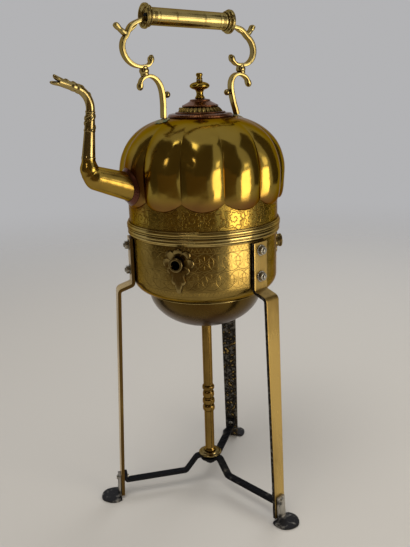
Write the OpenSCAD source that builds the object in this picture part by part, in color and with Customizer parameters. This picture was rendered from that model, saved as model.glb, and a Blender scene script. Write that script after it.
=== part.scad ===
// Spirit kettle on a three-legged stand: a lobed brass kettle with a hinged lid, fixed scroll handle
// and cranked spout, standing in a round brazier that holds a spirit burner.
// Millimetres, +Z up. The origin is on the stand's axis at the table. The spout points to -X, so
// the handle's plane is XZ. The kettle, the burner and the lid are drawn closed and seated.

/* [Heights] */
// Height of the brazier's rim above the table
rim_z = 349.5; // [300:0.5:400]
// Depth of the brazier from its rim to the seam with the bowl
brazier_h = 78.5; // [70:0.5:100]
// Depth of the rounded bowl below the seam
bowl_depth = 46; // [40:0.5:60]
// Height of the stretcher's hub plate above the table
hub_z = 38; // [36:0.5:60]

/* [Brazier] */
// Outer radius of the brazier's wall
wall_r = 86.5; // [80:0.5:90]
// Thickness of the wall and bowl sheet
sheet_t = 1.3; // [0.8:0.1:2]
// Radius of the rounded lower corner of the wall
shoulder_r = 17; // [10:0.5:20]
// Height of the rim moulding
rim_h = 8.5; // [6:0.5:12]
// How far the rim moulding stands proud of the wall
rim_out = 3.5; // [2:0.1:5]
// Radius of the lamp seat in the bowl
seat_r = 46; // [40:0.5:50]

/* [Air sockets] */
// Outer radius of a socket tube
socket_r = 7.3; // [6:0.1:9]
// Bore radius of a socket tube
socket_bore_r = 5.2; // [3:0.1:5.5]
// How far a socket tube stands out of the wall
socket_out = 9.5; // [6:0.5:14]
// Depth of the socket axis below the rim's top
socket_drop = 27.5; // [26:0.5:32]
// Angle from a leg to the next socket
socket_turn = 57; // [45:1:75]
// Thickness of the lobed plate round a socket
plate_t = 1.8; // [1:0.1:2.5]

/* [Legs] */
// Direction of the first leg, anticlockwise from +X
leg_turn = 43.5; // [40:0.5:50]
// Radius of the strap's middle at the table
leg_foot_r = 118; // [110:1:130]
// Radius of the strap's middle at the shelf corner
leg_corner_r = 106; // [100:1:110]
// Depth of the shelf corner below the rim's top
corner_drop = 72; // [70:0.5:90]
// Rise of the shelf from its corner to the wall
shelf_rise = 6; // [2:0.5:10]
// Thickness of the strap
strap_t = 4.3; // [3:0.1:6]
// Width of the strap at its top
strap_top_w = 21; // [18:0.5:24]
// Width of the strap at the table
strap_foot_w = 17; // [15:0.5:20]
// Depth of the upper leg bolt below the rim's top
bolt_drop = 19; // [18:0.5:24]
// Distance from the upper to the lower leg bolt
bolt_pitch = 30; // [20:0.5:34]
// Radius of a leg bolt
bolt_r = 2.5; // [2:0.1:3]

/* [Feet and stretcher] */
// Radius of a foot's rounded spade
spade_r = 16.5; // [12:0.5:20]
// Thickness of the spade and its tongue
foot_t = 3.2; // [2:0.1:4]
// Height of the tongue on the leg
tongue_h = 31; // [30:0.5:40]
// Width of the tongue
tongue_w = 12; // [8:0.5:14]
// Height of the rivet through tongue, leg and arm
rivet_z = 26.5; // [24:0.5:28]
// Rivet radius
rivet_r = 2; // [1.5:0.1:3]
// Width of a stretcher arm
arm_w = 10; // [8:0.5:14]
// Thickness of a stretcher arm
arm_t = 4; // [3:0.1:5]
// Height of the level run of the arms
arm_z = 19; // [17:0.5:22]
// Radius at which the arms bend up to the hub
arm_bend_r = 33; // [28:0.5:40]
// Radius of the brass washer on the hub
hub_washer_r = 14.5; // [12:0.5:18]

/* [Column] */
// Radius of the turned column
column_r = 6; // [5:0.1:8]
// Radius of the column's turned knops
knop_r = 7.8; // [6.8:0.1:11]
// Height of the knops' middle above the hub
knop_up = 84; // [60:1:110]
// Radius of the screwed ends
stud_r = 3; // [2:0.1:4]

/* [Burner] */
// Radius of the spirit tank
tank_r = 33; // [25:0.5:36]
// Height of the tank's side
tank_h = 24; // [16:0.5:30]
// Radius of the wick tube
wick_tube_r = 6.5; // [5:0.1:8]

/* [Kettle body] */
// Largest radius over the lobes
dome_r = 96.4; // [93:0.2:100]
// Height from the kettle's foot to the widest level
belly_h = 62; // [58:0.5:70]
// Height from the widest level to the crown
crown_h = 63.5; // [55:0.5:75]
// Depth of the grooves between the lobes
lobe_depth = 6.6; // [2:0.2:8]
// Height from the foot to the lobes' lower ends
lobe_low_h = 28; // [22:0.5:32]
// How much higher the grooves end than the lobes
scallop_h = 9; // [4:0.5:12]
// Thickness of the kettle's sheet
kettle_t = 1.2; // [0.8:0.1:1.6]
// Height of the moulded foot ring
foot_h = 7.6; // [6:0.2:10]
// How far the foot ring stands proud of the skirt
foot_out = 3; // [2:0.1:4]
// How deep the kettle's bottom drops into the brazier
spigot_h = 4.5; // [2:0.5:8]

/* [Lid] */
// Radius of the filling hole in the collar
neck_r = 26; // [24:0.5:28]
// Outer radius of the copper collar
collar_r = 37.5; // [36:0.5:39]
// Radius of the lid's flat rim
lid_r = 28.8; // [28.5:0.1:30]
// Depth of the lid's inner ring
bezel_h = 6; // [3:0.5:8]
// Radius of the mushroom finial
finial_r = 11.4; // [8:0.2:13]
// Height of the finial
finial_h = 27.5; // [24:0.5:32]
// How far the hinge axis lies outside the lid's rim
hinge_out = 3.2; // [3:0.1:4]
// Radius of the hinge knuckles
knuckle_r = 2.3; // [2:0.1:2.6]
// Radius of the hinge pin
pin_r = 1.2; // [0.8:0.1:1.4]

/* [Spout] */
// Distance from the kettle's axis to the elbow's middle
elbow_s = 136.8; // [130:0.2:145]
// Height of the elbow's middle above the kettle's foot
elbow_up = 64.5; // [60:0.5:70]
// Radius of the elbow's rounded heel
elbow_r = 12.8; // [11:0.1:14]
// Radius of the lower tube where it meets the body
root_r = 16; // [14:0.1:17]
// Upward slope of the lower tube, in degrees
root_slope = 16.3; // [10:0.5:20]
// Height of the upright above the elbow
neck_up = 71.7; // [60:0.5:80]
// Backward lean of the upright over its height
neck_back = 4.5; // [0:0.5:8]
// Radius of the upright's top
neck_top_r = 4.7; // [4.4:0.1:5.5]
// Bend radius of the beak
beak_bend_r = 22; // [18:0.5:28]
// Length of the beak beyond its bend
beak_l = 29; // [24:0.5:34]
// Upward slope of the beak, in degrees
beak_slope = 20; // [10:1:30]

/* [Handle] */
// Distance from the lid's axis to a bracket's foot
bracket_foot_s = 48.3; // [47:0.1:52]
// Height of the handle's grip axis above the crown
grip_up = 102.5; // [95:0.5:115]
// Length of the grip over its end caps
grip_l = 109; // [100:1:120]
// Radius of the hollow grip
grip_r = 9.3; // [7:0.1:10]
// Radius of the grip's end caps
cap_r = 13.1; // [11:0.1:14]
// Sideways lean of the handle towards the spout, per unit of height
handle_lean = 0.14; // [0:0.01:0.2]
// Thickness of the bracket strap, seen from the side
bracket_t = 4; // [3:0.1:5]
// Width of the bracket strap
bracket_w = 9; // [6:0.5:10]
// Radius of the rod through the grip
rod_r = 3; // [2:0.1:3.5]

/* [Fits] */
// Gap between pieces of one body that are soldered or pressed
joint_gap = 0.1; // [0.05:0.01:0.2]
// Gap where a lifted or turning piece seats
seat_gap = 0.3; // [0.2:0.05:0.5]
// Radial clearance of the hinge pin
pin_fit = 0.05; // [0.02:0.01:0.1]
// Radial clearance of the kettle's bottom in the brazier
spigot_gap = 0.8; // [0.5:0.1:1.5]

/* [Hidden] */
$fn = 96;

brass = [0.72, 0.58, 0.26];
dull_brass = [0.55, 0.46, 0.24];
copper = [0.6, 0.33, 0.22];
iron = [0.13, 0.12, 0.12];
steel = [0.7, 0.68, 0.62];
cotton = [0.86, 0.82, 0.7];

leg_step = 120;
leg_angle = [leg_turn, leg_turn + leg_step, leg_turn + 2 * leg_step];
socket_angle = [for (a = leg_angle) a + socket_turn];

seam_z = rim_z - brazier_h;
bowl_r = wall_r - shoulder_r - sheet_t - joint_gap;
bowl_flat_r = 9;
bowl_z = seam_z - bowl_depth * sin(acos(bowl_flat_r / bowl_r));
bowl_in_z = seam_z - (bowl_depth - sheet_t) * sin(acos(bowl_flat_r / (bowl_r - sheet_t)));
rim_r = wall_r + rim_out;
lap_h = 2;
socket_z = rim_z - socket_drop;
socket_foot = wall_r + joint_gap;
wall_hole_r = (socket_bore_r + socket_r) / 2;
bolt_z = [rim_z - bolt_drop, rim_z - bolt_drop - bolt_pitch];
bolt_hole_r = bolt_r + joint_gap;
bolt_head_r = 1.8 * bolt_r;
bolt_head_h = 2.2;
washer_r = 2.5 * bolt_r;
washer_t = 1;
nut_r = 2 * bolt_r;
nut_h = 4;

strap_in_r = wall_r + joint_gap;
strap_out_r = strap_in_r + strap_t;
strap_top_z = rim_z - rim_h - 1.5;
corner_z = rim_z - corner_drop;
shelf_z = corner_z + shelf_rise;
leg_low_z = foot_t + 0.4;
leg_lean = atan((leg_foot_r - leg_corner_r) / corner_z);

hub_plate_t = 3;
hub_nut_h = 6;
hub_top_z = hub_z + arm_t;
washer_h = 2.2;
washer_cap_h = 2;
column_z = hub_top_z + washer_h + washer_cap_h + 2 * joint_gap;
stud_hole_r = stud_r + joint_gap;
knop_z = hub_z + knop_up;
column_nut_h = 5;
stud_low_z = hub_z - hub_plate_t - hub_nut_h - 3;
seat_t = 1.5;
seat_z = seam_z - bowl_depth * sqrt(1 - pow((seat_r + 1) / (bowl_r - sheet_t), 2)) + sheet_t;
tank_z = seat_z + seat_t + seat_gap;
tank_top_h = 7;
burner_neck_r = wick_tube_r + 6;
burner_neck_h = 6;
wick_tube_h = 14;
wick_h = 7;

foot_z = rim_z + seat_gap;
belly_z = foot_z + belly_h;
crown_z = belly_z + crown_h;
lobe_low_z = foot_z + lobe_low_h;
lobe_count = 12;
lobe_span = 360 / lobe_count;
lobe_power = 2.2;
dome_power = 0.69;
skirt_r = wall_r + 1.1;
skirt_z = foot_z + 1.5;
pan_r = skirt_r - kettle_t - joint_gap;
pan_t = 1.2;
spigot_r = wall_r - sheet_t - spigot_gap;
dome_hole_r = neck_r + 2;
crown_turn = acos(pow(dome_hole_r / dome_r, 1 / dome_power));

collar_land_z = crown_z + 1.7;
collar_t = 1.2;
collar_drop = 9;
lid_z = collar_land_z + seat_gap;
lid_rim_t = 1.5;
bezel_r = neck_r - 1;
bezel_t = 1;
band_r = 25.6;
band_top_r = 20;
band_h = 5.6;
flute_count = 28;
cone_r = 20.6;
cone_h = 9;
cone_top_r = 5;
band_z = lid_z + lid_rim_t + joint_gap;
cone_z = band_z + band_h + joint_gap;
finial_z = cone_z + cone_h + joint_gap;
button_h = 7.5;
button_r = 3.8;
hinge_y = lid_r + hinge_out;
hinge_z = lid_z + lid_rim_t + 1.9;
knuckle_l = 6;
knuckle_gap = 0.3;
leaf_t = 1.1;

elbow_z = foot_z + elbow_up;
root_t = 1.3;
root_in_s = 84;
heel_swell = 0.4;
flare_up = 21.5;
flare_r = 7.3;
neck_foot = [elbow_s + 1.6, elbow_z + flare_up];
neck_top = [neck_foot.x - neck_back - 1.6, elbow_z + neck_up];
neck_turn = atan2(neck_top.y - neck_foot.y, neck_top.x - neck_foot.x);
beak_t = 1.5;
beak_centre = neck_top + beak_bend_r * [cos(neck_turn - 90), sin(neck_turn - 90)];
beak_start = beak_centre + beak_bend_r * [cos(90 + beak_slope), sin(90 + beak_slope)];
flange_w = 3.6;
flange_t = 1.5;

grip_z = crown_z + grip_up;
lean_z = crown_z + 5;
grip_shift = 1.5;
grip_mid_s = handle_lean * (grip_z - lean_z) - grip_shift;
grip_slope = 2.4;
end_swell = 0.2;
grip_rise = grip_l / 2 * tan(grip_slope);
cap_l = 7.5;
cap_lip = 3.2;
cap_recess = 4;
rod_in = 2;
pad_r = 8.5;
pad_t = 1.4;

// local X runs towards the spout, local Y up, local Z across
module in_spout_plane() {
    rotate([90, 0, 180]) children();
}

// a cone along the line from a to b in the spout's plane
module cone_between(a, b, r1, r2) {
    d = b - a;
    translate([a.x, a.y, 0])
        rotate([0, 0, atan2(d.y, d.x) - 90])
            rotate([-90, 0, 0])
                cylinder(h = norm(d), r1 = r1, r2 = r2);
}

// a cylinder along the radius at height z, from radius a to radius b
module radial_cylinder(r, a, b, z, sides = 0) {
    translate([a, 0, z])
        rotate([0, 90, 0])
            cylinder(h = b - a, r = r, $fn = sides == 0 ? $fn : sides);
}

module hex_ring(r, hole_r, h) {
    difference() {
        cylinder(h = h, r = r, $fn = 6);
        translate([0, 0, -1]) cylinder(h = h + 2, r = hole_r);
    }
}

// Brazier

function shoulder_arc(r, steps = 12) = [for (i = [0:steps])
    [wall_r - shoulder_r + r * cos(i * 90 / steps), seam_z + lap_h + shoulder_r - r * sin(i * 90 / steps)]];

module fire_wall() {
    top_z = rim_z - 3;
    outer = concat([[wall_r, top_z]], shoulder_arc(shoulder_r), [[wall_r - shoulder_r, seam_z]]);
    inner = concat([[wall_r - sheet_t, top_z]], shoulder_arc(shoulder_r - sheet_t),
        [[wall_r - shoulder_r - sheet_t, seam_z + lap_h + sheet_t],
        [wall_r - shoulder_r - sheet_t, seam_z]]);
    color(dull_brass) difference() {
        rotate_extrude() polygon(concat(outer, [for (i = [len(inner) - 1:-1:0]) inner[i]]));
        for (a = socket_angle)
            rotate([0, 0, a]) radial_cylinder(wall_hole_r, wall_r - 5, wall_r + 5, socket_z);
        for (a = leg_angle, z = bolt_z)
            rotate([0, 0, a]) radial_cylinder(bolt_hole_r, wall_r - 5, wall_r + 5, z);
    }
}

module fire_rim() {
    low_z = rim_z - rim_h;
    in_r = wall_r + joint_gap;
    lip_r = wall_r - sheet_t;
    color(brass) rotate_extrude() polygon([
        [in_r, low_z], [in_r + 0.35 * rim_out, low_z], [in_r + 0.5 * rim_out, low_z + 1.6],
        [rim_r - 0.2, low_z + 2.2], [rim_r, low_z + 3.4], [rim_r - 0.3, low_z + 4.4],
        [rim_r - 0.9, low_z + 4.9], [rim_r - 0.3, low_z + 5.4], [rim_r, rim_z - 1.2], [rim_r - 0.6, rim_z],
        [lip_r, rim_z], [lip_r, rim_z - 3 + joint_gap], [in_r, rim_z - 3 + joint_gap]]);
}

// a quarter of an ellipse of revolution, from the seam down to the flat round the stud
function bowl_arc(r, depth, flat, steps = 16) = [for (i = [0:steps])
    let (a = acos(flat / r) * i / steps) [r * cos(a), seam_z - depth * sin(a)]];

module fire_bowl() {
    outer = concat([[bowl_r, seam_z + lap_h]], bowl_arc(bowl_r, bowl_depth, bowl_flat_r),
        [[stud_hole_r, bowl_z]]);
    inner = concat([[bowl_r - sheet_t, seam_z + lap_h]],
        bowl_arc(bowl_r - sheet_t, bowl_depth - sheet_t, bowl_flat_r), [[stud_hole_r, bowl_in_z]]);
    color(dull_brass) rotate_extrude() polygon(concat(outer, [for (i = [len(inner) - 1:-1:0]) inner[i]]));
}

module lamp_seat() {
    hole_r = bowl_flat_r;
    color(dull_brass) rotate_extrude() polygon([
        [hole_r, seat_z], [seat_r, seat_z], [seat_r, seat_z + seat_t + 2.5],
        [seat_r - seat_t, seat_z + seat_t + 2.5], [seat_r - seat_t, seat_z + seat_t],
        [hole_r, seat_z + seat_t]]);
}

module air_socket(i) {
    color(dull_brass) rotate([0, 0, socket_angle[i]]) difference() {
        union() {
            radial_cylinder(socket_r, socket_foot, wall_r + socket_out, socket_z);
            radial_cylinder(socket_r + 0.7, wall_r + socket_out - 2, wall_r + socket_out, socket_z);
        }
        radial_cylinder(socket_bore_r, socket_foot - 1, wall_r + socket_out + 1, socket_z);
    }
}

// lobes of the plate round a socket: X across, Y up from the socket's axis, then the lobe's radius
plate_lobes = [[0, 0, 12.4], [0, 11, 5.6], [9.6, 9, 5], [-9.6, 9, 5], [13, 0, 5.2], [-13, 0, 5.2],
    [9, -8, 4.4], [-9, -8, 4.4], [0, -13, 7.4], [4.6, -21, 3.8], [-4.6, -21, 3.8], [0, -26, 4.4],
    [0, -31, 3.2]];

// distance from the socket's axis at which the ray at the angle a leaves a lobe
function lobe_exit(a, lobe) =
    let (along = lobe.x * cos(a) + lobe.y * sin(a), aside = lobe.x * sin(a) - lobe.y * cos(a))
    abs(aside) < lobe[2] ? along + sqrt(pow(lobe[2], 2) - pow(aside, 2)) : 0;

module plate_outline() {
    polygon([for (a = [0:3:357]) max([for (lobe = plate_lobes) lobe_exit(a, lobe)]) * [cos(a), sin(a)]]);
}

module socket_plate(i) {
    in_r = wall_r + joint_gap;
    color(brass) rotate([0, 0, socket_angle[i]]) intersection() {
        difference() {
            cylinder(h = rim_z, r = in_r + plate_t);
            translate([0, 0, -1]) cylinder(h = rim_z + 2, r = in_r);
        }
        translate([wall_r - 15, 0, socket_z])
            rotate([90, 0, 90])
                linear_extrude(height = 30) difference() {
                    plate_outline();
                    circle(r = socket_r + joint_gap);
                }
    }
}

// Legs and feet

// the strap seen along the shelf: X is the radius, Y the height
module strap_side() {
    lean = (leg_foot_r - leg_corner_r) / corner_z;
    low_mid = leg_foot_r - lean * leg_low_z;
    half = strap_t / 2;
    polygon([
        [strap_in_r, strap_top_z], [strap_out_r, strap_top_z],
        [strap_out_r, shelf_z + half + 1.2], [strap_out_r + 1.2, shelf_z + half],
        [leg_corner_r + half - 1.2, corner_z + half], [leg_corner_r + half, corner_z + half - 1.5],
        [low_mid + half, leg_low_z], [low_mid - half, leg_low_z],
        [leg_corner_r - half, corner_z - half], [strap_in_r + 1.5, shelf_z - half],
        [strap_in_r, shelf_z - half + 1.5]]);
}

// the strap seen from outside: it narrows towards the foot
module strap_front() {
    polygon([[-strap_top_w / 2, strap_top_z + 1], [strap_top_w / 2, strap_top_z + 1],
        [strap_top_w / 2, corner_z], [strap_foot_w / 2, 0], [-strap_foot_w / 2, 0],
        [-strap_top_w / 2, corner_z]]);
}

module leg(i) {
    color(brass) rotate([0, 0, leg_angle[i]]) difference() {
        intersection() {
            translate([0, strap_top_w, 0]) rotate([90, 0, 0])
                linear_extrude(height = 2 * strap_top_w) strap_side();
            translate([wall_r - 5, 0, 0]) rotate([90, 0, 90]) linear_extrude(height = 80) strap_front();
        }
        for (z = bolt_z) radial_cylinder(bolt_hole_r, wall_r - 1, strap_out_r + 1, z);
        rivet_line(rivet_r + joint_gap, 20);
    }
}

// the line of the foot rivet, square to the leaning leg
module rivet_line(r, half_l) {
    mid_r = leg_foot_r - (leg_foot_r - leg_corner_r) * rivet_z / corner_z;
    translate([mid_r, 0, rivet_z])
        rotate([0, 90 - leg_lean, 0])
            translate([0, 0, -half_l]) cylinder(h = 2 * half_l, r = r);
}

module leg_bolts() {
    head_r = wall_r - sheet_t - joint_gap - 0.15;
    end_r = strap_out_r + washer_t + nut_h + 1.6;
    color(steel) for (a = leg_angle, z = bolt_z)
        rotate([0, 0, a]) {
            radial_cylinder(bolt_r, head_r - 0.5, end_r, z);
            radial_cylinder(bolt_head_r, head_r - bolt_head_h, head_r, z);
        }
}

module leg_washers() {
    color(steel) for (a = leg_angle, z = bolt_z)
        rotate([0, 0, a]) difference() {
            radial_cylinder(washer_r, strap_out_r, strap_out_r + washer_t, z);
            radial_cylinder(bolt_hole_r, strap_out_r - 1, strap_out_r + washer_t + 1, z);
        }
}

module leg_nuts() {
    color(steel) for (a = leg_angle, z = bolt_z)
        rotate([0, 0, a]) difference() {
            radial_cylinder(nut_r, strap_out_r + washer_t, strap_out_r + washer_t + nut_h, z, 6);
            radial_cylinder(bolt_hole_r, strap_out_r, strap_out_r + washer_t + nut_h + 1, z);
        }
}

module foot(i) {
    lean = (leg_foot_r - leg_corner_r) / corner_z;
    low_r = leg_foot_r + strap_t / 2 + joint_gap / cos(leg_lean);
    spade_mid = low_r + 0.5 * spade_r;
    color(iron) rotate([0, 0, leg_angle[i]]) difference() {
        union() {
            intersection() {
                translate([0, tongue_w, 0]) rotate([90, 0, 0]) linear_extrude(height = 2 * tongue_w)
                    polygon([[low_r, 0], [low_r + 8, 0], [low_r + 8, foot_t], [low_r + foot_t + 2, foot_t],
                        [low_r + foot_t - lean * foot_t, foot_t + 2.5],
                        [low_r + foot_t - lean * tongue_h, tongue_h], [low_r - lean * tongue_h, tongue_h]]);
                translate([low_r - 20, -tongue_w / 2, 0]) cube([40, tongue_w, tongue_h + 1]);
            }
            intersection() {
                translate([spade_mid, 0, 0]) cylinder(h = foot_t, r = spade_r);
                translate([low_r, -2 * spade_r, 0]) cube([4 * spade_r, 4 * spade_r, foot_t]);
            }
        }
        rivet_line(rivet_r + joint_gap, 20);
    }
}

module foot_rivets() {
    color(steel) for (a = leg_angle)
        rotate([0, 0, a]) {
            mid_r = leg_foot_r - (leg_foot_r - leg_corner_r) * rivet_z / corner_z;
            out_l = strap_t / 2 + foot_t + 2 * joint_gap;
            in_l = strap_t / 2 + arm_t + 2 * joint_gap;
            translate([mid_r, 0, rivet_z]) rotate([0, 90 - leg_lean, 0]) {
                translate([0, 0, -in_l - 1]) cylinder(h = in_l + out_l + 2, r = rivet_r);
                translate([0, 0, out_l]) cylinder(h = 1.8, r1 = 1.8 * rivet_r, r2 = 1.1 * rivet_r);
                translate([0, 0, -in_l - 1.8]) cylinder(h = 1.8, r1 = rivet_r, r2 = 1.4 * rivet_r);
            }
        }
}

// Stretcher and column

module arm(i) {
    lean = (leg_foot_r - leg_corner_r) / corner_z;
    end_r = leg_foot_r - strap_t / 2 - joint_gap / cos(leg_lean);
    tab_z = rivet_z + 2 * rivet_r + 1;
    color(iron) rotate([0, 0, leg_angle[i]]) difference() {
        intersection() {
            translate([0, arm_w / 2, 0]) rotate([90, 0, 0]) linear_extrude(height = arm_w) polygon([
                [0, hub_z], [17, hub_z], [arm_bend_r - 1, arm_z], [end_r - lean * arm_z, arm_z],
                [end_r - lean * tab_z, tab_z], [end_r - lean * tab_z - arm_t, tab_z],
                [end_r - lean * (arm_z + arm_t) - arm_t, arm_z + arm_t], [arm_bend_r + 2, arm_z + arm_t],
                [19.5, hub_top_z], [0, hub_top_z]]);
            translate([joint_gap, 0, 0]) linear_extrude(height = rim_z)
                polygon([[0, 0], [40, 40 * tan(60)], [leg_foot_r, 90], [leg_foot_r, -90],
                    [40, -40 * tan(60)]]);
        }
        translate([0, 0, hub_z - 1]) cylinder(h = arm_t + 2, r = stud_hole_r);
        rivet_line(rivet_r + joint_gap, 20);
    }
}

module hub_plate() {
    color(iron) difference() {
        translate([0, 0, hub_z - hub_plate_t - joint_gap]) cylinder(h = hub_plate_t, r = hub_washer_r - 2);
        cylinder(h = hub_z + 1, r = stud_hole_r);
    }
}

module hub_washer() {
    z = hub_top_z + joint_gap;
    color(brass) rotate_extrude() polygon([
        [stud_hole_r, z], [hub_washer_r, z], [hub_washer_r, z + washer_h], [hub_washer_r - 3, z + washer_h],
        [hub_washer_r - 3.6, z + washer_h + washer_cap_h], [stud_hole_r, z + washer_h + washer_cap_h]]);
}

module hub_nut() {
    color(iron) translate([0, 0, hub_z - hub_plate_t - 2 * joint_gap - hub_nut_h])
        hex_ring(2 * stud_r, stud_hole_r, hub_nut_h);
}

// turned ring, barrel, ring and ball, as in the photograph, from the top down
module column() {
    low = column_z;
    k = knop_z;
    slim = column_r;
    top = bowl_z - joint_gap;
    color(brass) union() {
        rotate_extrude() polygon([
            [0, low], [slim + 1.5, low], [slim + 1.5, low + 1.5], [slim, low + 4], [slim, k - 19],
            [knop_r - 1.2, k - 18], [knop_r, k - 14.5], [knop_r - 1.2, k - 11], [slim - 0.3, k - 10],
            [slim - 0.3, k - 8.6], [knop_r, k - 8], [knop_r, k - 2], [slim + 0.3, k - 1.4],
            [knop_r - 0.6, k + 3.4], [slim + 0.3, k + 8.6], [slim + 0.3, k + 11],
            [knop_r, k + 12], [knop_r, k + 16], [slim, k + 17.5], [slim, top], [0, top]]);
        translate([0, 0, stud_low_z])
            cylinder(h = bowl_in_z + column_nut_h + 2 - stud_low_z, r = stud_r);
    }
}

module column_nut() {
    color(steel) translate([0, 0, bowl_in_z + joint_gap])
        hex_ring(2.2 * stud_r, stud_hole_r, column_nut_h);
}

// Spirit burner

module burner_tank() {
    wall = 1;
    z = tank_z;
    color(brass) rotate_extrude() polygon([
        [0, z], [tank_r - 2, z], [tank_r, z + 2], [tank_r, z + tank_h],
        [tank_r - wall, z + tank_h], [tank_r - wall, z + 2.4], [tank_r - 2.4, z + wall], [0, z + wall]]);
}

module burner_top() {
    z = tank_z + tank_h + joint_gap;
    hole_r = wick_tube_r + joint_gap;
    color(brass) rotate_extrude() polygon([
        [hole_r, z + tank_top_h + burner_neck_h - 1.2], [hole_r, z + tank_top_h + burner_neck_h],
        [burner_neck_r, z + tank_top_h + burner_neck_h], [burner_neck_r, z + tank_top_h],
        [0.55 * tank_r, z + tank_top_h - 0.6], [0.85 * tank_r, z + tank_top_h - 3], [tank_r, z + 1],
        [tank_r, z],
        [tank_r - 1.2, z], [tank_r - 1.2, z + 0.6], [0.82 * tank_r, z + tank_top_h - 4.2],
        [0.53 * tank_r, z + tank_top_h - 1.8], [burner_neck_r - 1.2, z + tank_top_h - 1.2],
        [burner_neck_r - 1.2, z + tank_top_h + burner_neck_h - 1.2]]);
}

module wick_tube() {
    top_z = tank_z + tank_h + tank_top_h + burner_neck_h + wick_tube_h;
    color(brass) difference() {
        translate([0, 0, tank_z + 8]) cylinder(h = top_z - tank_z - 8, r = wick_tube_r);
        translate([0, 0, tank_z]) cylinder(h = rim_z, r = wick_tube_r - 0.9);
    }
}

module wick() {
    top_z = tank_z + tank_h + tank_top_h + burner_neck_h + wick_tube_h + wick_h;
    color(cotton) union() {
        translate([0, 0, tank_z + 3]) cylinder(h = top_z - tank_z - 5, r = wick_tube_r - 1.1);
        translate([0, 0, top_z - 2]) cylinder(h = 2, r1 = wick_tube_r - 1.1, r2 = wick_tube_r - 2.6);
    }
}

// Kettle body

// share of a groove at the angle a: 0 on a lobe's crest, 1 in the groove
function groove(a) = pow(abs(a / lobe_span - round(a / lobe_span)) * 2, lobe_power);

// lower edge of the lobes at the angle a
function edge_z(a) = lobe_low_z + scallop_h * groove(a);

// a point of the lobed shell at the angle a. t runs from -90 at the lobes' lower ends through 0 at
// the belly to crown_turn at the filling hole, and inset moves it inwards from the outer face
function shell_point(a, t, inset) =
    let (belly = dome_r - inset, skirt = skirt_r - inset, round_in = pow(cos(t), dome_power), g = groove(a))
    let (r = t < 0 ? skirt + (belly - lobe_depth * g - skirt) * round_in
                   : (belly - lobe_depth * g * pow(cos(t), 3)) * round_in)
    let (z = t < 0 ? belly_z + (belly_z - edge_z(a) - inset) * sin(t)
        : belly_z + (crown_h - inset) * sin(t))
    [r * cos(a), r * sin(a), z];

// radius of the shell at the angle a and the height z, between the scallops and the crown
function shell_radius(a, z) =
    let (t = z < belly_z ? -asin(min(1, (belly_z - z) / (belly_z - edge_z(a))))
        : asin((z - belly_z) / crown_h))
    norm([shell_point(a, t, 0).x, shell_point(a, t, 0).y]);

shell_turns = [for (i = [0:lobe_count - 1], s = [0, 0.4, 0.75, 1, 1.25, 1.6]) (i + s / 2) * lobe_span];
outer_rows = [-90, -82, -70, -55, -38, -20, 0, 14, 27, 39, 50, 60, 69, 75.5, crown_turn];
inner_rows = [crown_turn, 74, 62, 46, 28, 8, -20, -50, -74, -90];

module dome_shell() {
    n = len(shell_turns);
    skirt_ring = [for (a = shell_turns) [skirt_r * cos(a), skirt_r * sin(a), skirt_z]];
    inner_skirt = [for (a = shell_turns)
        [(skirt_r - kettle_t) * cos(a), (skirt_r - kettle_t) * sin(a), skirt_z]];
    outer = [for (t = outer_rows) [for (a = shell_turns) shell_point(a, t, 0)]];
    inner = [for (t = inner_rows) [for (a = shell_turns) shell_point(a, t, kettle_t)]];
    rings = concat([skirt_ring], outer, inner, [inner_skirt]);
    m = len(rings);
    points = [for (ring = rings, p = ring) p];
    faces = [for (j = [0:m - 1], i = [0:n - 1], k = [0, 1])
        let (a = j * n + i, b = j * n + (i + 1) % n, c = ((j + 1) % m) * n + (i + 1) % n,
            d = ((j + 1) % m) * n + i)
        k == 0 ? [a, d, c] : [a, c, b]];
    polyhedron(points, faces, convexity = 6);
}

module kettle_dome() {
    color(brass) difference() {
        dome_shell();
        in_spout_plane() cone_between(root_point(root_in_s - 10), root_point(dome_r + 12),
            root_r + 2 * joint_gap, root_r + 2 * joint_gap);
    }
}

// bead, hollow and fillets of the foot moulding
module kettle_foot() {
    in_r = skirt_r + joint_gap;
    out_r = skirt_r + foot_out;
    z = foot_z;
    color(brass) rotate_extrude() polygon([
        [spigot_r + 2, z], [out_r - 0.8, z], [out_r, z + 0.9], [out_r - 0.5, z + 1.7],
        [out_r - 0.5, z + 2.2],
        [out_r, z + 3], [out_r + 0.2, z + 4.2], [out_r - 0.3, z + 5.4], [out_r - 1.1, z + 5.9],
        [out_r - 1.1, z + 6.4], [out_r - 0.9, z + 6.9], [out_r - 1.4, z + foot_h], [in_r, z + foot_h],
        [in_r, skirt_z - joint_gap], [spigot_r + 2, skirt_z - joint_gap]]);
}

// a pan soldered inside the skirt, whose bottom drops into the brazier and centres the kettle
module kettle_bottom() {
    low_z = rim_z - spigot_h;
    color(copper) rotate_extrude() polygon([
        [0, low_z + 2], [spigot_r - 12, low_z], [spigot_r - 1.5, low_z], [spigot_r, low_z + 1.5],
        [spigot_r, skirt_z], [pan_r, skirt_z + 0.8], [pan_r, skirt_z + 8], [pan_r - pan_t, skirt_z + 8],
        [pan_r - pan_t, skirt_z + 2.2], [spigot_r - pan_t, skirt_z + 1.2], [spigot_r - pan_t, low_z + 2],
        [spigot_r - 2, low_z + pan_t], [spigot_r - 12, low_z + pan_t], [0, low_z + 2 + pan_t]]);
}

// outer profile of a lobe's crest from the radius r1 in to the radius r2, raised by up
function crest_line(r1, r2, up, steps = 10) = [for (i = [0:steps])
    let (r = r1 + (r2 - r1) * i / steps, t = acos(pow(r / dome_r, 1 / dome_power))) [r,
        belly_z + crown_h * sin(t) + up]];

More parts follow.
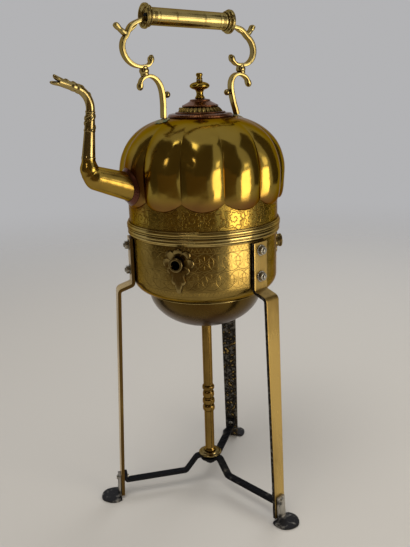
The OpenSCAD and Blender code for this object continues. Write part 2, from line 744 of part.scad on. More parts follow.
module lid_collar() {
    under = crest_line(collar_r, dome_hole_r - 0.6, joint_gap);
    color(copper) rotate_extrude() polygon(concat(under,
        [[neck_r + collar_t, crown_z - collar_drop], [neck_r, crown_z - collar_drop],
        [neck_r, collar_land_z],
        [collar_r - 3.5, collar_land_z], [collar_r - 1.6, collar_land_z - 0.5],
        [collar_r, under[0].y + 1.3]]));
}

// Spout

// the point of the lower tube's axis at the distance s from the kettle's axis
function root_point(s) = [s, elbow_z + (s - elbow_s) * tan(root_slope)];

// the shell of the lower tube, its rounded heel and the flare up to the upright
module root_form(inset) {
    cone_between(root_point(root_in_s - (inset > 0 ? 3 : 0)), root_point(elbow_s), root_r - inset,
        elbow_r - inset);
    translate([elbow_s, elbow_z, 0]) sphere(r = elbow_r + heel_swell - inset, $fn = 48);
    flare_foot = [elbow_s, elbow_z + 1];
    flare_foot_r = elbow_r - 0.6;
    past = 1.15;
    cone_between(flare_foot, flare_foot + past * (neck_foot - flare_foot),
        flare_foot_r - inset, flare_foot_r + past * (flare_r - flare_foot_r) - inset);
}

module spout_root() {
    color(brass) in_spout_plane() difference() {
        root_form(0);
        root_form(root_t);
        translate([neck_foot.x, neck_foot.y, 0]) rotate([0, 0, neck_turn - 90])
            translate([-20, 0, -20]) cube([40, 40, 40]);
    }
}

module spout_neck() {
    gap = joint_gap * [cos(neck_turn), sin(neck_turn)];
    color(brass) in_spout_plane() difference() {
        union() {
            cone_between(neck_foot + gap, neck_top, flare_r, neck_top_r);
            cone_between(neck_top - 14 * gap / joint_gap, neck_top - 11.5 * gap / joint_gap,
                neck_top_r + 1, neck_top_r + 1);
            cone_between(neck_top - 3 * gap / joint_gap, neck_top, neck_top_r + 0.9, neck_top_r + 0.9);
        }
        cone_between(neck_foot - 10 * gap, neck_top + 10 * gap, flare_r - root_t, neck_top_r - root_t);
    }
}

// a cast beak: a bent tube, then two jaws open at the mouth
module spout_beak() {
    along = [cos(beak_slope), sin(beak_slope)];
    up = [-along.y, along.x];
    jaw = beak_start + (beak_l - 16) * along;
    low_tip = beak_start + (beak_l - 1.5) * along - 3.4 * up;
    high_tip = beak_start + (beak_l - 3.8) * along + 4.2 * up;
    corner = beak_start + (beak_l - 9) * along + 0.5 * up;
    sweep = neck_turn - 90 + 180 - (90 + beak_slope);
    bore_r = neck_top_r - beak_t;
    color(brass) in_spout_plane() difference() {
        union() {
            translate([beak_centre.x, beak_centre.y, 0]) rotate([0, 0, 90 + beak_slope])
                rotate_extrude(angle = sweep - 0.3) translate([beak_bend_r, 0]) circle(r = neck_top_r);
            cone_between(beak_start - along, jaw, neck_top_r - 0.1, neck_top_r - 0.5);
            cone_between(jaw - 0.5 * up, low_tip, neck_top_r - 0.6, 1.5);
            cone_between(jaw + 0.5 * up, high_tip, neck_top_r - 0.6, 1.6);
        }
        translate([beak_centre.x, beak_centre.y, 0]) rotate([0, 0, 90 + beak_slope - 1])
            rotate_extrude(angle = sweep + 3) translate([beak_bend_r, 0]) circle(r = bore_r);
        cone_between(beak_start - along, corner + along, bore_r - 0.1, bore_r - 0.6);
        translate([0, 0, -10]) linear_extrude(height = 20)
            polygon([corner, beak_start + (beak_l + 6) * along - 3.4 * up,
                beak_start + (beak_l + 6) * along + 3.6 * up]);
    }
}

// distance along the lower tube at which the line at the radius r and the turn a meets the shell
function reach(r, a, d, tries) = tries == 0 ? d :
    let (p = flange_point(r, a, d))
    reach(r, a, d + (shell_radius(atan2(p.y, p.x), p.z) - norm([p.x, p.y])) / cos(root_slope), tries - 1);

// a point at the distance d along the lower tube's axis, measured from the kettle's axis
function flange_point(r, a, d) =
    let (s = d * cos(root_slope) - r * cos(a) * sin(root_slope))
    [-s, r * sin(a), root_point(0).y + d * sin(root_slope) + r * cos(a) * cos(root_slope)];

// a copper washer dished to the lobe round the foot of the spout
module spout_flange() {
    steps = 40;
    in_r = root_r - 2 * joint_gap;
    out_r = root_r + flange_w;
    start = dome_r / cos(root_slope);
    section = [[in_r, 0.3], [out_r, 0.3], [out_r, 0.8], [out_r - 1, flange_t],
        [in_r + 0.4, flange_t + 1], [in_r, flange_t + 1]];
    m = len(section);
    points = [for (i = [0:steps - 1], q = section)
        let (a = i * 360 / steps) flange_point(q[0], a, reach(q[0], a, start, 8) + q[1])];
    faces = [for (i = [0:steps - 1], j = [0:m - 1], k = [0, 1])
        let (a = i * m + j, b = i * m + (j + 1) % m, c = ((i + 1) % steps) * m + (j + 1) % m,
            d = ((i + 1) % steps) * m + j)
        k == 0 ? [a, b, c] : [a, c, d]];
    color(copper) polyhedron(points, faces, convexity = 4);
}

// Handle

// centre line of a bracket's upper scroll: u is the distance outwards from the lid's axis and w the
// height above the crown, before the handle's lean. rise lifts its top to the end of the sloping grip
function upper_scroll(rise) = concat(
    [[grip_l / 2 - 6, grip_up - 1 + rise], [grip_l / 2 + 1, grip_up - 4.5 + rise], [70, grip_up - 9.5 + rise / 2]],
    [for (a = [52:-13:-104]) [65, 71] + 17.6 * [cos(a), sin(a)]],
    [[56, 55], [52.2, 59.5], [51.4, 64]]);
// From the tip of the lower scroll over its arch and down the stem to the shell
function lower_scroll() = [[69.8, 29], [69.6, 34.5], [67, 39.5], [62, 43], [56, 43.6], [50.5, 41],
    [46.8, 36], [45.2, 30], [45, 23], [45.9, 13], [47.3, 4], [bracket_foot_s, -6]];
spur = [[76, 88.5], [82, 92.2], [87.4, 96.5]];
bead = [37.6, 23.5];

// the handle leans towards the spout: side is 1 on the spout's side and -1 behind
function lean_point(p, side) = [side * p.x + handle_lean * (p.y + crown_z - lean_z), p.y + crown_z];

// half thickness of the strap along a scroll: it thins towards a free end
function strap_half(i, n, thin_start, thin_end) =
    bracket_t / 2 * (1 - 0.3 * (thin_start ? max(0, 1 - i / 3) : 0) - 0.3 * (thin_end ? max(0,
        1 - (n - i) / 3) : 0));

// a strap of round-jointed quadrilaterals along the points
module strap_line(points, side, thin_start, thin_end) {
    n = len(points) - 1;
    q = [for (p = points) lean_point(p, side)];
    normal = [for (i = [0:n])
        let (d = q[min(n, i + 1)] - q[max(0, i - 1)]) [-d.y, d.x] / norm(d)];
    h = [for (i = [0:n]) strap_half(i, n, thin_start, thin_end)];
    left = [for (i = [0:n]) q[i] + h[i] * normal[i]];
    right = [for (i = [n:-1:0]) q[i] - h[i] * normal[i]];
    polygon(concat(left, right));
    translate(q[0]) circle(r = h[0] + end_swell, $fn = 24);
    translate(q[n]) circle(r = h[n] + end_swell, $fn = 24);
}

module bracket_outline(side) {
    strap_line(upper_scroll(side * grip_rise), side, false, true);
    strap_line(lower_scroll(), side, true, false);
    strap_line(spur, side, false, false);
    strap_line([[62, 54], [62, 43]], side, false, false);
    strap_line([bead + [8, 0], bead], side, false, false);
    translate(lean_point(bead, side)) circle(r = 3.3, $fn = 32);
    translate(lean_point([62, 48.7], side)) circle(r = 3.7, $fn = 32);
}

// the grip's frame: origin at its middle, local X along it towards the spout
module in_grip_frame() {
    translate([-grip_mid_s, 0, grip_z]) rotate([0, 0, 180]) rotate([0, -grip_slope, 0]) children();
}

module bracket(side) {
    color(brass) difference() {
        union() {
            in_spout_plane() translate([0, 0, -bracket_w / 2])
                linear_extrude(height = bracket_w) difference() {
                bracket_outline(side);
                translate([side * (grip_l / 2 - 39.4 - cap_recess) + grip_mid_s, grip_z])
                    square([80, 8 * bracket_t], center = true);
            }
            in_grip_frame() translate([side * (grip_l / 2 - cap_recess + 0.3), 0, 0])
                rotate([0, side * 90, 0]) cylinder(h = cap_recess + 1.5, r = bracket_w / 2, $fn = 48);
        }
        rotate_extrude() polygon(concat([[0, crown_z - 40], [collar_r + 40, crown_z - 40]],
            crest_line(collar_r + 40, collar_r - 4, pad_t + 2 * joint_gap + 0.3), [[0, crown_z]]));
        in_grip_frame() rotate([0, side * 90, 0])
            cylinder(h = grip_l / 2 + rod_in - cap_recess + 1, r = rod_r + joint_gap);
    }
}

// a round solder pad dished to the crown
module pad(side) {
    color(brass) intersection() {
        rotate_extrude() polygon(concat(
            crest_line(collar_r + 25, collar_r - 5, 0.3),
            crest_line(collar_r - 5, collar_r + 25, 0.3 + pad_t)));
        translate([-side * (bracket_foot_s + 1.2) - handle_lean * (crown_z - lean_z), 0, crown_z - 30])
            cylinder(h = 60, r = pad_r);
    }
}

module grip_tube() {
    half = grip_l / 2 - cap_l + 2;
    color(brass) in_grip_frame() rotate([0, 90, 0]) difference() {
        translate([0, 0, -half]) cylinder(h = 2 * half, r = grip_r);
        translate([0, 0, -half - 1]) cylinder(h = 2 * half + 2, r = grip_r - 1.2);
    }
}

// a turned end cap: a ringed neck on the tube, a lip, and a hollow end round the bracket
module grip_cap(side) {
    half = grip_l / 2;
    neck = grip_r + joint_gap;
    color(brass) in_grip_frame() rotate([0, side * 90, 0]) rotate_extrude() polygon([
        [neck, half - cap_l], [neck + 1.3, half - cap_l], [neck + 1.7, half - cap_l + 1],
        [neck + 1, half - cap_l + 2], [neck + 1.1, half - cap_l + 2.7],
        [cap_r - 0.6, half - cap_lip - 0.8],
        [cap_r, half - cap_lip / 2], [cap_r - 0.6, half], [cap_r - 2.4, half],
        [cap_r - 3, half - cap_recess],
        [rod_r + joint_gap, half - cap_recess], [rod_r + joint_gap, half - cap_l + 2 + joint_gap],
        [neck, half - cap_l + 2 + joint_gap]]);
}

module grip_rod() {
    half = grip_l / 2 + rod_in - cap_recess;
    color(iron) in_grip_frame() rotate([0, 90, 0]) translate([0, 0, -half])
        cylinder(h = 2 * half, r = rod_r);
}

// Lid and hinge. The hinge is across the handle's plane, on the far side

module knuckle(from_x, to_x, bore_r) {
    translate([from_x, hinge_y, hinge_z]) rotate([0, 90, 0]) difference() {
        cylinder(h = to_x - from_x, r = knuckle_r, $fn = 48);
        translate([0, 0, -1]) cylinder(h = to_x - from_x + 2, r = bore_r, $fn = 48);
    }
}

module hinge_leaf() {
    in_x = knuckle_l / 2 + knuckle_gap;
    out_x = in_x + knuckle_l;
    leaf_z = collar_land_z + joint_gap;
    color(brass) difference() {
        union() {
            for (side = [-1, 1])
                knuckle(side > 0 ? in_x : -out_x, side > 0 ? out_x : -in_x, pin_r + pin_fit);
            for (side = [-1, 1])
                translate([side > 0 ? in_x : -out_x, hinge_y - 1, leaf_z])
                    cube([knuckle_l, 2, hinge_z - leaf_z]);
            translate([-out_x, lid_r + 0.6, leaf_z]) cube([2 * out_x, 2 * hinge_out + 0.6, leaf_t]);
        }
        translate([-out_x - 1, hinge_y, hinge_z]) rotate([0, 90, 0])
            cylinder(h = 2 * out_x + 2, r = pin_r + pin_fit, $fn = 48);
    }
}

module hinge_pin() {
    half = 1.5 * knuckle_l + knuckle_gap + 1;
    color(steel) translate([-half, hinge_y, hinge_z]) rotate([0, 90, 0])
        cylinder(h = 2 * half, r = pin_r, $fn = 48);
}

module lid_base() {
    color(copper) rotate_extrude() polygon([
        [0, lid_z + lid_rim_t - 0.2], [0, lid_z + 0.2], [bezel_r - bezel_t, lid_z],
        [bezel_r - bezel_t, lid_z - bezel_h],
        [bezel_r, lid_z - bezel_h], [bezel_r, lid_z], [lid_r - 0.5, lid_z], [lid_r, lid_z + 0.5],
        [lid_r - 0.6, lid_z + lid_rim_t], [band_r - 3, lid_z + lid_rim_t]]);
}

module lid_tab() {
    tab_z = lid_z + lid_rim_t + joint_gap;
    color(brass) difference() {
        union() {
            knuckle(-knuckle_l / 2, knuckle_l / 2, pin_r + pin_fit);
            translate([-knuckle_l / 2, band_r + 0.8, tab_z])
                cube([knuckle_l, hinge_y - band_r - 1.6, leaf_t]);
        }
        translate([-knuckle_l, hinge_y, hinge_z]) rotate([0, 90, 0])
            cylinder(h = 2 * knuckle_l, r = pin_r + pin_fit, $fn = 48);
    }
}

// a fluted band that narrows upwards
module lid_band() {
    color(brass) translate([0, 0, band_z]) linear_extrude(height = band_h, scale = band_top_r / band_r)
        difference() {
            polygon([for (i = [0:4 * flute_count - 1])
                let (a = i * 90 / flute_count, r = band_r - [0, 0.55, 1.3, 0.55][i % 4]) r * [cos(a),
                    sin(a)]]);
            circle(r = band_r - 4, $fn = 48);
        }
}

module lid_cone() {
    z = cone_z;
    color(copper) rotate_extrude() polygon([
        [stud_r, z + 1], [cone_r - 4, z], [cone_r, z], [cone_r + 0.4, z + 0.9], [cone_r - 0.6, z + 1.7],
        [cone_r - 4.6, z + 3.6], [cone_r - 8, z + 5.4], [11.6, z + 6.2], [11.8, z + 7.1], [10.8, z + 7.7],
        [cone_top_r + 1.6, z + 8.3], [cone_top_r, z + cone_h], [stud_r, z + cone_h]]);
}

module lid_finial() {
    z = finial_z;
    k = finial_z + 0.5 * finial_h;
    color(brass) rotate_extrude() polygon([
        [0, cone_z + 1.5], [stud_r - joint_gap, cone_z + 1.5], [stud_r - joint_gap, z], [6.2, z],
        [6.4, z + 1.2],
        [4.6, z + 2], [4, z + 4.5], [4.8, z + 7], [7.6, k - 4.2], [finial_r - 0.8, k - 1.6], [finial_r, k],
        [finial_r - 0.9, k + 1.6], [6.8, k + 4], [4.4, k + 5.6], [3.4, z + finial_h - button_h - joint_gap],
        [0, z + finial_h - button_h - joint_gap]]);
}

module finial_button() {
    z = finial_z + finial_h - button_h;
    color(brass) rotate_extrude() polygon([
        [0, z], [3.6, z], [3.3, z + 2], [3.1, z + 3.4], [button_r, z + 5], [button_r, z + button_h - 1.2],
        [button_r - 1.2, z + button_h - 0.2], [0, z + button_h]]);
}

fire_wall();
fire_rim();
fire_bowl();
lamp_seat();
air_socket(1);  // air_socket_front
air_socket(2);  // air_socket_right
air_socket(0);  // air_socket_rear
socket_plate(1);  // socket_plate_front
socket_plate(2);  // socket_plate_right
socket_plate(0);  // socket_plate_rear
leg(2);  // leg_right
leg(1);  // leg_left
leg(0);  // leg_rear
leg_bolts();
leg_washers();
leg_nuts();
foot(2);  // foot_right
foot(1);  // foot_left
foot(0);  // foot_rear
foot_rivets();
arm(2);  // arm_right
arm(1);  // arm_left
arm(0);  // arm_rear
hub_plate();
hub_washer();
hub_nut();
column();
column_nut();
burner_tank();
burner_top();
wick_tube();
wick();
kettle_dome();
kettle_foot();
kettle_bottom();
lid_collar();
spout_flange();
spout_root();
spout_neck();
spout_beak();
bracket(1);  // bracket_front
bracket(-1);  // bracket_back
pad(1);  // pad_front
pad(-1);  // pad_back
grip_tube();
grip_cap(1);  // grip_cap_front
grip_cap(-1);  // grip_cap_back
grip_rod();
hinge_leaf();
hinge_pin();
lid_base();
lid_tab();
lid_band();
lid_cone();
lid_finial();
finial_button();
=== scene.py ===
import functools

import bpy
import numpy as np
from mathutils import Matrix, Vector


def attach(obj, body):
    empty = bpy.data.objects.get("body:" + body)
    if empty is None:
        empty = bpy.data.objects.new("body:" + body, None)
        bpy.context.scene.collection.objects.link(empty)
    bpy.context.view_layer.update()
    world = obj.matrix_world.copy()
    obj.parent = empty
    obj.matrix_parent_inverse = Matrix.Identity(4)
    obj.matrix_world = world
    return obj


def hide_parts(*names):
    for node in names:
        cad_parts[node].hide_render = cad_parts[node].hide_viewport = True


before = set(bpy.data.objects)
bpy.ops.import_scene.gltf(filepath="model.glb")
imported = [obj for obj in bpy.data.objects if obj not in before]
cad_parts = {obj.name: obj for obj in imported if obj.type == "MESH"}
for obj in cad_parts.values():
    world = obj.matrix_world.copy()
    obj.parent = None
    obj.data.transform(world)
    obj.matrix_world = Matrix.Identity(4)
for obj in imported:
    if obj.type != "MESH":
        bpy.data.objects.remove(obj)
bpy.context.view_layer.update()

# The studio: a pale floor that fades into an even grey room, soft lamps, and a bright panel on the
# right that gives brass its patches of light. The camera stands level with the lid's finial and 30
# degrees round towards the spout, looks down at the kettle and is tipped 1.7 degrees to one side.
camera_turn, camera_pitch, camera_roll = np.radians(30), 0.278, 0.029
camera_distance, camera_height = 0.790, 0.512
focal_pixels, picture_pixels = 674, 547
kettle_middle = Vector((0, 0, 0.34))
room_grey = (0.45, 0.45, 0.46, 1)
floor_grey = (0.58, 0.55, 0.50, 1)
floor_near, floor_gone = 0.5, 2.2

heading = Vector((np.sin(camera_turn), np.cos(camera_turn), 0))
level = Vector((np.cos(camera_turn), -np.sin(camera_turn), 0))
ahead = heading * np.cos(camera_pitch) - Vector((0, 0, np.sin(camera_pitch)))
upward = level.cross(ahead)
across = level * np.cos(camera_roll) - upward * np.sin(camera_roll)
upright = level * np.sin(camera_roll) + upward * np.cos(camera_roll)
lens = bpy.data.cameras.new("studio_camera")
lens.sensor_fit, lens.sensor_height = "VERTICAL", 36
lens.lens = lens.sensor_height * focal_pixels / picture_pixels
camera = bpy.data.objects.new("studio_camera", lens)
bpy.context.collection.objects.link(camera)
camera.matrix_world = (Matrix.Translation(heading * -camera_distance + Vector((0, 0, camera_height)))
                       @ Matrix((across, upright, -ahead)).transposed().to_4x4())
bpy.context.scene.camera = camera
bpy.context.scene.view_settings.view_transform = "Standard"

world = bpy.data.worlds.new("studio_room")
world.use_nodes = True
world.node_tree.nodes["Background"].inputs["Color"].default_value = room_grey
bpy.context.scene.world = world


class Wire:
    """A socket of a finish. Arithmetic on wires adds Math nodes."""

    def __init__(self, finish, socket):
        self.finish, self.socket = finish, socket

    def maths(self, operation, *others):
        return self.finish.add("ShaderNodeMath", {"operation": operation}, dict(enumerate((self, *others))))

    def __rsub__(self, other):
        return self.finish.add("ShaderNodeMath", {"operation": "SUBTRACT"}, {0: other, 1: self})

    __add__ = __radd__ = functools.partialmethod(maths, "ADD")
    __mul__ = __rmul__ = functools.partialmethod(maths, "MULTIPLY")
    __sub__ = functools.partialmethod(maths, "SUBTRACT")
    __truediv__ = functools.partialmethod(maths, "DIVIDE")
    __pow__ = functools.partialmethod(maths, "POWER")
    __abs__ = functools.partialmethod(maths, "ABSOLUTE")
    fract = functools.partialmethod(maths, "FRACT")
    floor = functools.partialmethod(maths, "FLOOR")
    sine = functools.partialmethod(maths, "SINE")
    least = functools.partialmethod(maths, "MINIMUM")
    most = functools.partialmethod(maths, "MAXIMUM")
    # The angle, in radians, whose tangent is this wire over another
    turn_from = functools.partialmethod(maths, "ARCTAN2")

    def step(self, low, high):
        """0 below low and 1 above high, with a soft rise between them. low may be the larger."""
        return self.finish.add("ShaderNodeMapRange", {"interpolation_type": "SMOOTHSTEP"},
                               {0: self, 1: low, 2: high, 3: 0.0, 4: 1.0})


class Finish:
    """A material, whose nodes are added one at a time. Constants go straight to the shader."""

    def __init__(self, name, **constants):
        self.material = bpy.data.materials.new(name)
        self.material.use_nodes = True
        self.tree = self.material.node_tree
        self.shader = self.tree.nodes["Principled BSDF"]
        for socket, value in constants.items():
            self.shader.inputs[socket.replace("_", " ")].default_value = value

    def join(self, value, socket):
        if isinstance(value, Wire):
            self.tree.links.new(value.socket, socket)
        else:
            socket.default_value = value

    def add(self, kind, settings, inputs, output=0):
        """One node: its type, its settings, which are set first, and its sockets' values or wires."""
        made = self.tree.nodes.new(kind)
        for key, value in settings.items():
            setattr(made, key, value)
        for key, value in inputs.items():
            self.join(value, made.inputs[key])
        return Wire(self, made.outputs[output])

    def vectors(self, operation, *values, output=0):
        """Arithmetic on vectors. Output 1 is a number, such as a length."""
        return self.add("ShaderNodeVectorMath", {"operation": operation}, dict(enumerate(values)), output)

    def spot(self):
        """Object coordinates in metres, as a vector."""
        return self.add("ShaderNodeTexCoord", {}, {}, "Object")

    def axes(self, vector):
        """A vector's x, y and z."""
        return tuple(self.add("ShaderNodeSeparateXYZ", {}, {0: vector}, k) for k in range(3))

    def noise(self, spot, scale, detail=3.0, stretch=(1, 1, 1)):
        """Cloudy values between 0 and 1, scale to the metre."""
        spread = self.vectors("MULTIPLY", spot, stretch)
        return self.add("ShaderNodeTexNoise", {}, {"Vector": spread, "Scale": scale, "Detail": detail})

    def blend(self, share, low, high):
        """A colour between low and high."""
        return self.add("ShaderNodeMix", {"data_type": "RGBA"}, {0: share, 6: low, 7: high}, 2)

    def hollow(self, reach):
        """1 in corners and joints closer than reach, in metres, and 0 in the open."""
        return 1 - self.add("ShaderNodeAmbientOcclusion", {"samples": 6}, {"Distance": reach}, 1)

    def finish(self, colour, roughness, height, depth):
        """Joins the colour and the roughness, and a bump of the height given, depth in metres."""
        bumped = self.add("ShaderNodeBump", {}, {"Height": height, "Distance": depth, "Strength": 1.0})
        for socket, value in {"Base Color": colour, "Roughness": roughness, "Normal": bumped}.items():
            self.join(value, self.shader.inputs[socket])
        return self


def facing_kettle(turn, rise, distance):
    """A place about the kettle that faces its middle. turn is the direction from the camera's, to
    the right, and rise the height above the kettle's middle, both in degrees."""
    a, b = np.radians(turn) - camera_turn, np.radians(rise)
    away = Vector((np.sin(a) * np.cos(b), -np.cos(a) * np.cos(b), np.sin(b)))
    turned_to_it = away.to_track_quat("Z", "Y").to_matrix().to_4x4()
    return Matrix.Translation(kettle_middle + distance * away) @ turned_to_it


def lamp(name, place, size, power, tint, mirrored=True):
    """A soft rectangle of light. The brass shows it as a bright patch if it is mirrored."""
    light = bpy.data.lights.new(name, "AREA")
    light.shape, light.size, light.size_y = "RECTANGLE", *size
    light.energy, light.color = power, tint
    holder = bpy.data.objects.new(name, light)
    bpy.context.collection.objects.link(holder)
    holder.visible_glossy = mirrored
    holder.matrix_world = facing_kettle(*place)


def card(name, place, size, shade):
    """A dark board that the brass reflects, out of the camera's sight, placed as a lamp is."""
    bpy.ops.mesh.primitive_plane_add(size=1)
    board = bpy.context.object
    board.name = name
    board.matrix_world = facing_kettle(*place) @ Matrix.Diagonal((*size, 1, 1))
    paint = Finish(name, Base_Color=shade, Roughness=1.0, Specular_IOR_Level=0.0)
    board.data.materials.append(paint.material)
    board.visible_camera = board.visible_shadow = board.visible_diffuse = False


lamp("window_panel", (54, -6, 1.3), (0.74, 0.74), 7.4, (1, 0.88, 0.66))
lamp("window_top_pane", (58, 20, 1.3), (0.42, 0.22), 0.62, (1, 0.96, 0.88))
lamp("far_window", (-30, 32, 1.8), (0.24, 0.34), 0.9, (1, 0.86, 0.76))
lamp("ceiling_spot", (-30, 66, 1.6), (0.3, 0.3), 0.9, (1, 0.97, 0.85))
lamp("ceiling_lamp", (-34, 68, 1.6), (0.8, 0.8), 9, (1, 0.98, 0.95), False)
lamp("rear_lamp", (150, 40, 1.6), (0.9, 0.9), 8, (0.95, 0.97, 1), False)
card("dark_room_left", (-62, 26, 1.7), (2.2, 2.9), (0.13, 0.105, 0.07, 1))
card("dark_room_front", (2, 34, 1.9), (2.4, 3.0), (0.15, 0.12, 0.08, 1))
card("dark_room_right", (104, 22, 1.7), (1.3, 2.2), (0.13, 0.11, 0.08, 1))
card("brown_table_front", (-22, -9, 1.15), (1.9, 0.8), (0.17, 0.12, 0.065, 1))

bpy.ops.mesh.primitive_plane_add(size=14)
floor = bpy.context.object
floor.name = "studio_floor"
floor_paint = Finish("studio_floor", Base_Color=floor_grey, Roughness=0.9)
from_middle = floor_paint.vectors("LENGTH", floor_paint.spot(), output=1)
floor_paint.join(from_middle.step(floor_gone, floor_near), floor_paint.shader.inputs["Alpha"])
floor.data.materials.append(floor_paint.material)


# The kettle's body: a shell of sheet brass raised into twelve lobes over a plain skirt, which is
# engraved with running scrolls on a hatched ground. It was beaten over a stake and buffed, and is
# browned in the grooves and a little dented. Sizes are in millimetres.
def piece(name, grids, body, finish, nodes=(), sharp=40):
    """A closed skin over one or more grids of points, in millimetres. Ring i of a grid is joined to
    ring i + 1 and the last to the first, and each ring is closed. Points that meet are merged, which
    closes seams and poles, and the skin is turned so that its volume is positive."""
    points, faces, count = [], [], 0
    for grid in grids:
        flat = np.round(grid.reshape(-1, 3), 5)
        merged, index = np.unique(flat, axis=0, return_inverse=True)
        index = index.reshape(grid.shape[:2])
        quads = np.stack([index, np.roll(index, -1, 0), np.roll(index, (-1, -1), (0, 1)),
                          np.roll(index, -1, 1)], -1).reshape(-1, 4)
        same = quads == np.roll(quads, -1, 1)
        whole = quads[~same.any(1)]
        ended = quads[same.sum(1) == 1]
        ended = ended[~(ended == np.roll(ended, -2, 1)).any(1)]
        gap = np.argmax(ended == np.roll(ended, -1, 1), 1)
        thirds = ended[np.arange(len(ended))[:, None], (gap[:, None] + np.arange(1, 4)) % 4]
        triangles = np.concatenate([whole[:, [0, 1, 2]], whole[:, [0, 2, 3]], thirds])
        a, b, c = (merged[triangles[:, k]] for k in range(3))
        turned_in = (np.cross(a, b) * c).sum() < 0
        for part in (whole, thirds):
            faces += ((part[:, ::-1] if turned_in else part) + count).tolist()
        points.append(merged)
        count += len(merged)
    mesh = bpy.data.meshes.new(name)
    mesh.from_pydata(np.concatenate(points) / 1000, [], faces)
    mesh.polygons.foreach_set("use_smooth", [True] * len(faces))
    mesh.set_sharp_from_angle(angle=np.radians(sharp))
    mesh.materials.append(finish.material)
    made = bpy.data.objects.new(name, mesh)
    bpy.context.collection.objects.link(made)
    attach(made, body)
    if nodes:
        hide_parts(*nodes)
    return made


foot_z, belly_z, crown_z = 349.8, 411.8, 475.3
dome_r, skirt_r, kettle_sheet = 96.4, 87.6, 1.2
lobe_count, lobe_depth, lobe_power, dome_power = 12, 6.6, 2.2, 0.69
lobe_low_z, scallop_h = 377.8, 9.0
skirt_low_z, dome_hole_r = 351.3, 28.0
# Each dent is its direction in degrees, its height, its half width and its depth. The first ten
# lie together on the front of the crown.
dents = [
    (222, 445, 3.1, 1.0), (226, 441, 3.1, 1.0), (229, 436, 3.0, 0.9), (222, 437, 3.0, 0.9),
    (232, 430, 3.2, 0.8), (218, 441, 3.0, 0.7), (215, 446, 5, 0.6), (211, 438, 4, 0.5),
    (240, 448, 8, 0.5), (205, 420, 8, 0.5), (262, 430, 9, 0.5), (301, 436, 10, 0.4),
    (30, 440, 9, 0.6), (110, 425, 10, 0.7), (150, 440, 6, 0.5), (352, 452, 7, 0.5)]


def groove(angle):
    """0 on a lobe's crest and 1 in the groove between two lobes, and the height there of the
    lobes' scalloped lower end."""
    lobe = angle * lobe_count / 360
    share = (2 * np.abs(lobe - np.round(lobe))) ** lobe_power
    return share, lobe_low_z + scallop_h * share


def shell(angle, turn, inset):
    """Point of the lobed shell. turn runs from -90 degrees at the lobes' lower ends through 0 at
    the belly to the crown. The radius is the belly's times a power of the turn's cosine, less a
    groove that grows with the distance from a lobe's crest."""
    share, low_z = groove(angle)
    cosine = np.clip(np.cos(np.radians(turn)), 0, 1)
    drawn = cosine ** dome_power
    belly, skirt = dome_r - inset, skirt_r - inset
    below = turn < 0
    radius = np.where(below, skirt + (belly - lobe_depth * share - skirt) * drawn,
                      (belly - lobe_depth * share * cosine ** 2) * drawn)
    rise = np.sin(np.radians(turn))
    return radius, belly_z + np.where(below, belly_z - low_z - inset, crown_z - belly_z - inset) * rise


def dented(angle, radius, height):
    """Radius less the dents and a slow waviness that hand work leaves."""
    for at, z, half, depth in dents:
        aside = (np.mod(angle - at + 180, 360) - 180) * np.pi / 180 * dome_r
        radius = radius - depth * np.exp(-(aside ** 2 + (height - z) ** 2) / half ** 2)
    a = np.radians(angle)
    return radius + 0.18 * np.sin(5 * a + height / 9) + 0.12 * np.sin(17 * a - height / 5)


def ring_grid(angle, radius, height):
    """Points at the angles and radii about the kettle's axis."""
    a = np.radians(angle)
    return np.stack(np.broadcast_arrays(radius * np.cos(a), radius * np.sin(a), height), -1)


lobe_share = np.concatenate([np.linspace(0, 0.42, 13), np.linspace(0.44, 0.5, 6)])
lobe_share = np.concatenate([lobe_share, 1 - lobe_share[-2:0:-1]])
body_angle = np.concatenate([(k + lobe_share) * 360 / lobe_count for k in range(lobe_count)])
outer_turn = np.concatenate([
    np.linspace(-90, -50, 24), np.linspace(-48.5, 69, 92), np.linspace(70.5, 80.2, 8)])
crown_turn = np.degrees(np.arccos((dome_hole_r / dome_r) ** (1 / dome_power)))
outer_turn = np.append(outer_turn[outer_turn < crown_turn - 0.5], crown_turn)
inner_turn = np.linspace(crown_turn, -90, 16)
angle_grid, turn_grid = np.meshgrid(body_angle, outer_turn)
outer_r, outer_z = shell(angle_grid, turn_grid, 0)
edge = np.clip((turn_grid + 90) / 12, 0, 1) * np.clip((crown_turn - turn_grid) / 8, 0, 1)
outer_r = outer_r + (dented(angle_grid, outer_r, outer_z) - outer_r) * edge
inner_r, inner_z = shell(*np.meshgrid(body_angle, inner_turn), kettle_sheet)
skirt_rise = np.linspace(0, 1, 7)[:-1, None]
skirt_z = skirt_low_z + (outer_z[0] - skirt_low_z) * skirt_rise
inner_skirt_z = (skirt_low_z + (inner_z[-1] - skirt_low_z) * skirt_rise)[::-1]
body_grid = np.concatenate([
    ring_grid(body_angle, skirt_r, skirt_z), ring_grid(angle_grid, outer_r, outer_z),
    ring_grid(body_angle, inner_r, inner_z), ring_grid(body_angle, skirt_r - kettle_sheet, inner_skirt_z)])


bright_brass = (0.37, 0.25, 0.046, 1)
brown_brass = (0.14, 0.075, 0.016, 1)
edge_brass = (0.62, 0.46, 0.32, 1)
flush_and_reflection_brass = (0.17, 0.066, 0.026, 1)


